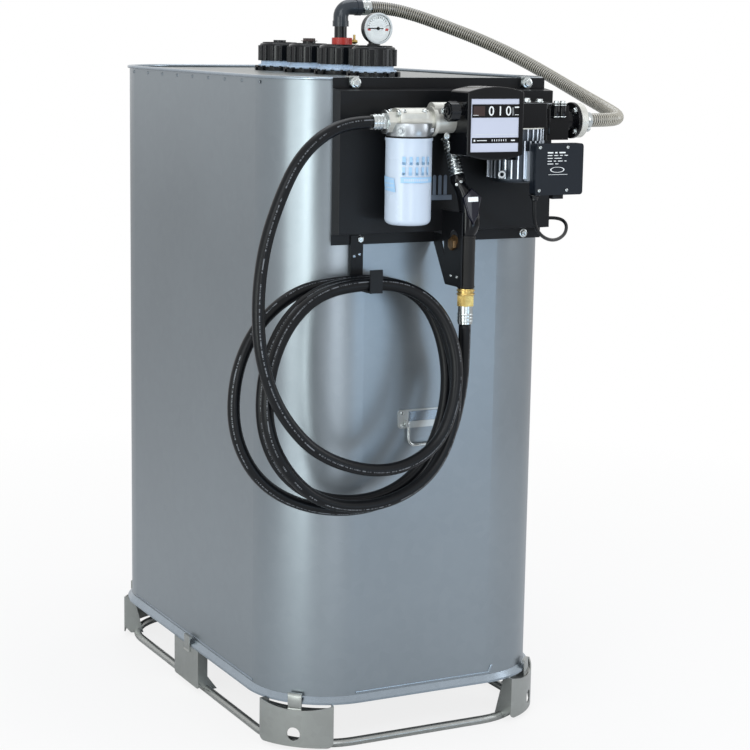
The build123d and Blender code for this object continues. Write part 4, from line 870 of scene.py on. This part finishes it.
wheels = zip("010", (0.035, 0.0575, 0.0785))
digits = [digit(character, (x, plate_y - 0.0010, 1.4875), 0.029) for character, x in wheels]
settle(joined(*digits), "counter_digits", dial_white)
marks("counter_wheel_tint", [((0.0045, plate_y - 0.0006, window_z), 0.029, 0.021)], red_brown)
scale_y, strip_y = plate_y - 0.0006, plate_y - 0.0003
marks(
    "counter_scale",
    [((0.0900, scale_y, 1.4795 + 0.0022 * step), 0.004 if step % 2 else 0.0025, 0.0006) for step in range(8)]
    + [((0.1000, scale_y, 1.4965), 0.011, 0.0028), ((0.1000, scale_y, 1.4800), 0.010, 0.0012)]
    + [((-0.004, plate_y - 0.0009, 1.4795), 0.013, 0.0009)],
    dial_white,
)
marks("totaliser_strip", [((plate_x, plate_y, strip_z), 0.119, 0.012)], gloss_black)
marks(
    "totaliser_marks",
    [((-0.006, strip_y, strip_z), 0.004, 0.004), ((0.013, strip_y, strip_z), 0.025, 0.0016)]
    + [((0.039 + 0.0058 * step, strip_y, 1.4248), 0.0016, 0.0040) for step in range(7)]
    + [((0.092, strip_y, 1.4243), 0.010, 0.0028)],
    dial_white,
)
marks("plate_rule", [((plate_x, plate_y, 1.4375), 0.113, 0.0011)], bezel_grey)

# %% [markdown]
# The level gauge: a pale bezel over a white dial, ticks on an arc, two red fields, a needle
# that lies level and a thin glass. Its ticks stand on an arc, so each is one mark turned
# about the dial's middle.

# %% Level gauge
dial_y, dial_z, tick_reach = -0.2875, 1.661, 0.0255
bezel = band("gauge_bezel", 0.0368, 0.0048, 0.0050, edge=0.0014)
spread(bezel, [stand((0, -0.288, dial_z))], bezel_grey)
ticks = []
for step in range(13):
    turned = Matrix.Rotation(math.radians(15 + 12.5 * step), 4, "Z") @ Matrix.Translation((tick_reach, 0, 0))
    length = 0.006 if step % 3 == 0 else 0.0035
    ticks.append(stand((0, dial_y, dial_z)) @ turned @ Matrix.Diagonal((length, 0.0009, 1, 1)))
spread(mark, ticks, powder_black, "gauge_ticks")
fields = [((x, dial_y, 1.6585), 0.0075, 0.0055) for x in (-0.0235, 0.0235)]
marks("gauge_fields", fields, red_plastic)
needle = joined(
    slab("gauge_needle", 0.040, 0.0022, 0.0008, centre=(-0.006, 0)), screw_head("gauge_hub", 0.008, 0.0022),
)
needle.data.transform(stand((0, dial_y - 0.0006, dial_z)))
settle(needle, "gauge_needle", powder_black)
glass = fresh(
    bpy.ops.mesh.primitive_cylinder_add, "gauge_glass", vertices=48, radius=0.0322, depth=0.0009,
    location=(0, 0, 0.0004),
)
shape(glass, bevel(lambda m: m.z > 0.0008, 0.0003, 1))
glass.data.transform(stand((0, -0.2905, dial_z)))
settle(glass, "gauge_glass", clear_glass)

# %% [markdown]
# The terminal box carries a rating plate. It is kept generic here: rows of short bars where
# print would be, and an empty oval. Under the box sits the small tab of its strain relief.

# %% Terminal box marks
bar_rows = (
    (0.014, 0.006, 0.016), (0.012, 0.010, 0.007, 0.009), (0.013, 0.018), (0.011, 0.006, 0.012, 0.005), (0.015, 0.008),
)
rows = []
for line, lengths in enumerate(bar_rows):
    x = 0.171
    for length in lengths:
        rows.append(((x + length / 2, box_face, 1.397 - 0.0062 * line), length, 0.0016 if line else 0.0030))
        x += length + 0.005
rows.append(((0.199, box_face, 1.3485), 0.050, 0.0008))
marks("rating_marks", rows, dial_white)
oval = band("rating_oval", 0.0062, 0.0009, 0.0003, sides=40, edge=0.0001)
oval.data.transform(Matrix.Diagonal((3.0, 1, 1, 1)))
spread(oval, [stand((0.197, box_face, 1.3592))], dial_white)
tab = slab("box_tab", 0.028, 0.010, 0.016, edge=0.0015)
spread(tab, [stand((0.205, -0.762, 1.2985))], powder_black)
gland_places = [stand((0.150, -0.767, 1.3029), (0, 0, -1), (0, 1, 0)), stand((0.2822, -0.598, 1.232), to_right)]
spread(hex_head("gland_nuts", 0.0165, 0.006), gland_places, cap_black)

# %% [markdown]
# The hose ends. A crimped ferrule has rings pressed into it and a hexagon for the spanner.
# The clear hose is held by a worm-drive clamp at each end: a thin band, a housing on its
# side and a slotted screw through it.

# %% Ferrules and clamps
nozzle_x, nozzle_y = 0.020, -0.697
crimp_places = [stand((-0.190 - along, pipe_y, pipe_z), to_left) for along in (0.006, 0.0135, 0.021)]
crimp_places += [upward(nozzle_x, nozzle_y, 1.011 + along) for along in (0.005, 0.0125, 0.020)]
spread(band("crimp_rings", 0.0178, 0.0022, 0.0042, edge=0.0012), crimp_places, bright_zinc)
swivel_ring = band("swivel_rings", 0.0205, 0.0030, 0.0040, edge=0.0012)
spread(swivel_ring, [upward(nozzle_x, nozzle_y, z) for z in (1.0765, 1.0845)], brass_finish)
strap = band("worm_clamps", 0.0192, 0.0008, 0.0095, edge=0.0002)
housing = slab("worm_housing", 0.012, 0.016, 0.008, edge=0.0012)
housing.data.transform(stand((0, -0.0185, 0.0047)))
worm = screw_head("worm_screw", 0.0078, 0.006)
worm.data.transform(stand((-0.0055, -0.0235, 0.0047), to_left))
clamp_places = [
    stand((0.0575, -0.088, 1.711), to_right, (0, 1, 0.4)), stand((0.3190, pipe_y, pipe_z), to_right, (0, 0.5, 1)),
]
spread(joined(strap, housing, worm), clamp_places, bright_zinc)
cuff = band("hose_cuffs", 0.0215, 0.0060, 0.0075, edge=0.0014)
spread(cuff, [stand((0.3122, pipe_y, pipe_z), to_right)], cap_black)

# %% [markdown]
# The nozzle hangs with its spout up. A steel wire is wound round the spout, a collar with
# two screws holds the spout in the body, and a glossy cover closes the body's side. The
# wire is a helix along the spout's line, thick enough to read as ribs.

# %% Nozzle dress
coil_pitch, coil_reach, tip_reach, tip_length = 0.0078, 0.0138, 0.0126, 0.030
spout_line = smooth_line([(0.004, -0.676, 1.336), (0.000, -0.660, 1.384), (-0.008, -0.646, 1.427)], 24)
spout_line = resampled(spout_line, 0.0008)
spout_length = line_length(spout_line)
coil_points, travelled = [], 0.0
for index, point in enumerate(spout_line):
    before, after = spout_line[max(index - 1, 0)], spout_line[min(index + 1, len(spout_line) - 1)]
    heading = (after - before).normalized()
    side = heading.cross(Vector((0, 1, 0))).normalized()
    other = heading.cross(side)
    travelled += (point - spout_line[index - 1]).length if index else 0.0
    angle = 2 * math.pi * travelled / coil_pitch
    reach = coil_reach if travelled < spout_length - tip_length else tip_reach
    coil_points.append(point + (side * math.cos(angle) + other * math.sin(angle)) * reach)
coil = skin_tube("spout_coil", coil_points[6:-4], 0.0029, 8, Vector((0, 0, 1)))
settle(coil, "spout_coil", bright_zinc)
lean = (spout_line[4] - spout_line[0]).normalized()
collar = band("spout_collar", 0.0172, 0.0040, 0.0170, edge=0.0020)
spread(collar, [stand(spout_line[0] - lean * 0.011, lean, (0, 1, 0))], gloss_black)
screw_places = [stand((-0.0065, -0.691, 1.3235), (-0.5, -0.85, 0.1)), stand((0.0030, -0.693, 1.3300), (-0.2, -1, 0.1))]
spread(lid_screw, screw_places, bright_zinc, "collar_screws")
cover = drum("nozzle_cover", 6, 0.5, 1)
cover.data.transform(Matrix.Diagonal((0.050, 0.082, 0.0065, 1)))
shape(
    cover,
    ("EDGE", lambda m: m.y < -0.015, bpy.ops.transform.resize, {"value": (0.55, 1, 1)}),
    bevel(lambda m: m.z > 0.0064, 0.0050, 6),
)
cover_place = stand((nozzle_x, -0.7175, 1.276), (-0.30, -1, 0.10), (-0.05, 0, 1))
spread(cover, [cover_place], cover_gloss)
label_place = cover_place @ Matrix.Translation((0.001, 0.016, 0.0062)) @ Matrix.Diagonal((0.023, 0.0105, 2.0, 1))
spread(mark, [label_place], dial_white, "cover_label")
grip_ring = band("grip_rings", 0.0200, 0.0022, 0.0050, edge=0.0012)
spread(grip_ring, [upward(nozzle_x, nozzle_y, z) for z in (1.0925, 1.2035)], grip_rubber)
spread(hex_head("holder_dock", 0.026, 0.009), [stand((0.0005, -0.676, 1.190), to_left)], bronze_finish)

# %% [markdown]
# The jacket's dress: folded clips tie the seam's lip to the feet, a pressed bead runs along
# each flat wall above the seam, and small clinch dots follow the rim all the way round.

# %% Clips, beads and dots
side_x, end_y, clip_z, bead_z, dot_z = 0.360, 0.575, 0.116, 0.1345, 1.5395
lip_clip = shape(
    slab("lip_clips", 0.034, 0.030, 0.0032, edge=0.0008),
    extrude(lambda m: m.y > 0.0145, y=0.006),
    extrude(lambda m: m.y > 0.014 and m.z < 0.0001, z=-0.0050),
    extrude(lambda m: m.y < -0.0145, y=-0.004, z=0.002),
)
clip_places = []
for x, y in ((0.172, 0.387), (-0.172, 0.387), (0.172, -0.387), (-0.172, -0.387)):
    outward = Vector((math.copysign(1, x), math.copysign(1, y), 0)).normalized()
    clip_places.append(stand(Vector((x, y, clip_z)) + outward * 0.2000, outward))
clip_places += [stand((x, -0.010, clip_z), (x, 0, 0)) for x in (-0.3720, 0.3720)]
spread(lip_clip, clip_places, foot_zinc)

bead_places = [
    stand(place, facing) @ Matrix.Diagonal((length, 1, 1, 1))
    for place, facing, length in (
        ((0, -end_y, bead_z), (0, -1, 0), 0.36), ((0, end_y, bead_z), (0, 1, 0), 0.36),
        ((-side_x, 0, bead_z), to_left, 0.78), ((side_x, 0, bead_z), to_right, 0.78),
    )
]
spread(slab("wall_beads", 1, 0.0050, 0.0014, edge=0.0006), bead_places, seam_zinc)
end_places = [
    stand((-0.184 * side, end_y * side, 0.1425), (0, side, 0)) @ Matrix.Rotation(-0.42, 4, "Z") for side in (-1, 1)
]
spread(slab("bead_ends", 0.0060, 0.022, 0.0016, edge=0.0007), end_places, seam_zinc)

dot_places = [stand((x, 0.389 - 0.0997 * step, dot_z), (x, 0, 0)) for x in (-side_x, side_x) for step in range(9)]
dot_places += [stand((-0.15 + 0.10 * step, end_y, dot_z), (0, 1, 0)) for step in range(4)]
dot_places.append(stand((-0.15, -end_y, dot_z)))
spread(screw_head("clinch_dots", 0.0080, 0.0012), dot_places, jacket_zinc)

# %% [markdown]
# The handle plates are pressed: a raised field inside a flat rim, with four rivets. Both
# narrow ends have one.

# %% Handle plates
handle_y = 0.578
field = lambda m: m.z > 0.00159 and abs(m.x) < 0.001
pressing = shape(
    slab("handle_pressing", 0.110, 0.024, 0.0016, edge=0.0012, centre=(0, 0.006)),
    inset(field, 0.004), extrude(field, z=0.0012),
)
rivet = screw_head("rivet", 0.009, 0.0024)
for name, sign in (("front", -1), ("rear", 1)):
    away = (0, sign, 0)
    plate_place = [stand((0, sign * handle_y, 0.7765), away)]
    spread(pressing, plate_place, seam_zinc, name + "_handle_pressing")
    rivet_places = [stand((x, sign * handle_y, z), away) for x in (-0.072, 0.072) for z in (0.7615, 0.7905)]
    spread(rivet, rivet_places, bright_zinc, name + "_handle_rivets")

# %% [markdown]
# The necks of the inner tank stand white between lock ring and cap. Each lock ring has teeth
# for a spanner, and each cap a raised ring and eight ribs on its top. The third cap's plug is
# closed with a brown cover.

# %% Necks and caps
neck_ys = (-0.267, -0.088, 0.091, 0.270)
neck_collar = band("neck_collars", 0.0560, 0.0070, 0.0060, edge=0.0016)
spread(neck_collar, [upward(0, y, 1.5575) for y in neck_ys], tank_plastic)
cap_crown = band("cap_crowns", 0.0450, 0.0040, 0.0030, edge=0.0010)
spread(cap_crown, [upward(0, y, 1.6178) for y in neck_ys], cap_black)


def around_necks(z, count):
    """Places turned evenly round each neck, at one height."""
    return [
        upward(0, y, z) @ Matrix.Rotation(2 * math.pi / count * step, 4, "Z")
        for y in neck_ys for step in range(count)
    ]


spoke = slab("cap_spokes", 0.0240, 0.0035, 0.0026, edge=0.0008, centre=(0.0300, 0))
spread(spoke, around_necks(1.6178, 8), cap_black)
tooth = slab("ring_teeth", 0.0090, 0.0060, 0.0050, edge=0.0012, centre=(0.0600, 0))
spread(tooth, around_necks(1.5555, 16), cap_black)
spread(hex_head("plug_cover", 0.027, 0.0060), [upward(0, 0.091, 1.6255)], red_brown)

# %% [markdown]
# The filter. Its cast head is clamped between two flanges with bolts, and closed below by a
# machined ring over a black gasket.

# %% Filter head
can_radius, ring_bolt_reach = 0.0525, 0.0500
machined = band("machined_ring", 0.0505, 0.0040, 0.0290, edge=0.0014)
spread(machined, [upward(can_x, pipe_y, 1.4322)], ring_metal)
gasket = band("gasket_ring", 0.0516, 0.0040, 0.0032, edge=0.0008)
spread(gasket, [upward(can_x, pipe_y, 1.4290)], grip_rubber)
flange = shape(
    slab("head_flanges", 0.058, 0.056, 0.0065, edge=0.0016),
    bevel(lambda m: abs(m.x) > 0.028 and abs(m.y) > 0.027, 0.010, 4),
)
flange_places = [stand((x, pipe_y, pipe_z), to_left) for x in (-0.158, -0.096)]
spread(flange, flange_places, cast_metal)
corners = [Matrix.Translation((x, y, 0.0065)) for x in (-0.021, 0.021) for y in (-0.020, 0.020)]
bolt_places = [place @ corner for place in flange_places for corner in corners]
spread(m6_head, bolt_places, bright_zinc, "head_flange_bolts")
ring_places = [
    stand(
        (can_x + ring_bolt_reach * math.sin(a), pipe_y - ring_bolt_reach * math.cos(a), 1.445),
        (math.sin(a), -math.cos(a), 0),
    )
    for a in (-0.85, 0.85, 2.3, -2.3)
]
spread(m6_head, ring_places, motor_metal, "ring_bolts")
adaptor_place = stand((-0.1895, pipe_y, pipe_z), to_left, (0, 1, 1))
spread(hex_head("adaptor_nuts", 0.034, 0.0085), [adaptor_place], bright_zinc)
elbow_places = [stand((x, -0.7235, z)) for x, z in ((-0.061, 1.487), (-0.038, 1.498), (-0.052, 1.433))]
spread(m6_head, elbow_places, bright_zinc, "elbow_bolts")

# %% [markdown]
# The can carries a print in pale blue. It is kept generic here: rows of plain blocks that
# follow the can's round wall, and one slanted block, with thin white lines over them.

# %% Print on the can


def on_can(angle, z, wide, high, deep=1, out=0.0, slant=0.0):
    """The place and size of a mark on the can's wall, at an angle from the front in degrees."""
    a = math.radians(angle)
    reach = can_radius + out
    place = (can_x + reach * math.sin(a), pipe_y - reach * math.cos(a), z)
    turned = stand(place, (math.sin(a), -math.cos(a), 0)) @ Matrix.Rotation(slant, 4, "Z")
    return turned @ Matrix.Diagonal((wide, high, deep, 1))


block_high = 0.018
blocks = []
for z, widths in ((1.3810, (7.6, 6.4, 6.0, 6.8, 6.0)), (1.3585, (6.2, 6.8, 6.0, 6.4, 5.6))):
    angle = -43.0
    for wide in widths:
        turn = math.degrees(wide / 1000 / can_radius)
        blocks.append(on_can(angle + turn / 2, z, wide / 1000, block_high))
        blocks.append(on_can(angle + turn / 2, z - 0.3 * block_high, wide / 1000 * 1.12, block_high * 0.3))
        angle += turn + 9.0
blocks += [on_can(angle, 1.3395, 0.0062, 0.0125) for angle in range(-43, 46, 6)]
blocks += [
    on_can(angle, 1.331 - 0.0006 * step, 0.0062, 0.030, slant=0.16) for step, angle in enumerate(range(-101, -62, 6))
]
spread(mark, blocks, print_blue, "can_print")
lines = [on_can(angle, 1.3395, 0.0030, 0.0050, 0.4, 0.0003) for angle in range(-36, 28, 5)]
lines += [
    on_can(angle, z, 0.0050, 0.0022, 0.4, 0.0003) for angle in range(-96, -66, 7) for z in (1.322, 1.331, 1.340)
]
spread(mark, lines, white_enamel, "can_print_lines")

# %% [markdown]
# The pump. A lid closes its body from above, a bypass valve stands at its right end, and the
# motor below is cast with fins round its crown. Behind the three slots in the panel, a dim sheet
# is painted light that stands for the lit tank wall, and a pale strip under them is a painted highlight.

# %% Pump, and painted light behind the slots
bypass_xs, bypass_y, fin_count, fin_reach = (0.2255, 0.2425), -0.7265, 28, 0.0585
lid = slab("pump_lid", 0.078, 0.088, 0.0030, edge=0.0010)
spread(lid, [upward(0.170, -0.6830, 1.5028)], gloss_black)
seat = slab("pump_lid_seat", 0.084, 0.094, 0.0018, edge=0.0006)
spread(seat, [upward(0.170, -0.6830, 1.5016)], motor_metal)
front_rib = slab("pump_ribs", 0.0035, 0.058, 0.0030, edge=0.0010)
spread(front_rib, [stand((x, -0.7305, 1.462)) for x in (0.130, 0.205)], gloss_black)
bypass = band("bypass_valve", 0.0085, 0.0050, 0.0340, edge=0.0014)
spread(bypass, [upward(x, bypass_y, 1.4690) for x in bypass_xs], gloss_black)
ring_places = [upward(x, bypass_y, 1.4720 + 0.0052 * step) for x in bypass_xs for step in (0, 5)]
spread(band("bypass_rings", 0.0092, 0.0030, 0.0022, edge=0.0006), ring_places, bright_zinc)
spread(m6_head, [upward(x, bypass_y, 1.5030) for x in bypass_xs], bright_zinc, "bypass_bolts")
fin_places = [
    stand((motor_x + fin_reach * math.cos(a), motor_y + fin_reach * math.sin(a), 1.434), (math.cos(a), math.sin(a), 0))
    for a in (2 * math.pi * (step + 0.5) / fin_count for step in range(fin_count))
]
spread(slab("motor_crown_fins", 0.0030, 0.026, 0.0045, edge=0.0006), fin_places, motor_fins)
crown = band("motor_crown", 0.0592, 0.0100, 0.0260, edge=0.0010)
spread(crown, [upward(motor_x, motor_y, 1.421)], motor_fins)
crown_rim = band("motor_rim", 0.0632, 0.0100, 0.0030, edge=0.0010)
spread(crown_rim, [upward(motor_x, motor_y, 1.4465)], cast_metal)
boss = band("motor_boss", 0.0090, 0.0050, 0.0160, edge=0.0016)
spread(boss, [stand((0.092, -0.722, 1.347), (-0.5, -0.8, 0))], motor_metal)
# A sheet of painted light behind the slots, and a strip of painted highlight along their lower edge.
slot_backing = slab("vent_louvre", 0.050, 0.058, 0.0010, edge=0.0002)
spread(slot_backing, [stand((-0.010, -0.6205, 1.3155))], louvre_zinc)
edge_highlight = slab("vent_sill", 0.053, 0.0115, 0.0014, edge=0.0005)
spread(edge_highlight, [stand((-0.006, -0.6220, 1.2893))], louvre_zinc)

# %% [markdown]
# The meter's knob is dished: a ring stands round a hub, on the knob's own body. That was the
# last piece, so the masters, which were only there to be copied, go.

# %% Reset knob
knob_dress = joined(
    band("knob_dress", 0.0170, 0.0028, 0.0022, edge=0.0008), band("knob_hub", 0.0080, 0.0052, 0.0035, edge=0.0010),
)
spread(knob_dress, [stand((-0.0605, -0.741, 1.487), to_left)], gloss_black, body="reset_knob")
for master in [item for item in bpy.data.objects if item.name.endswith("_form")]:
    bpy.data.objects.remove(master)

# %% Update the view layer
bpy.context.view_layer.update()
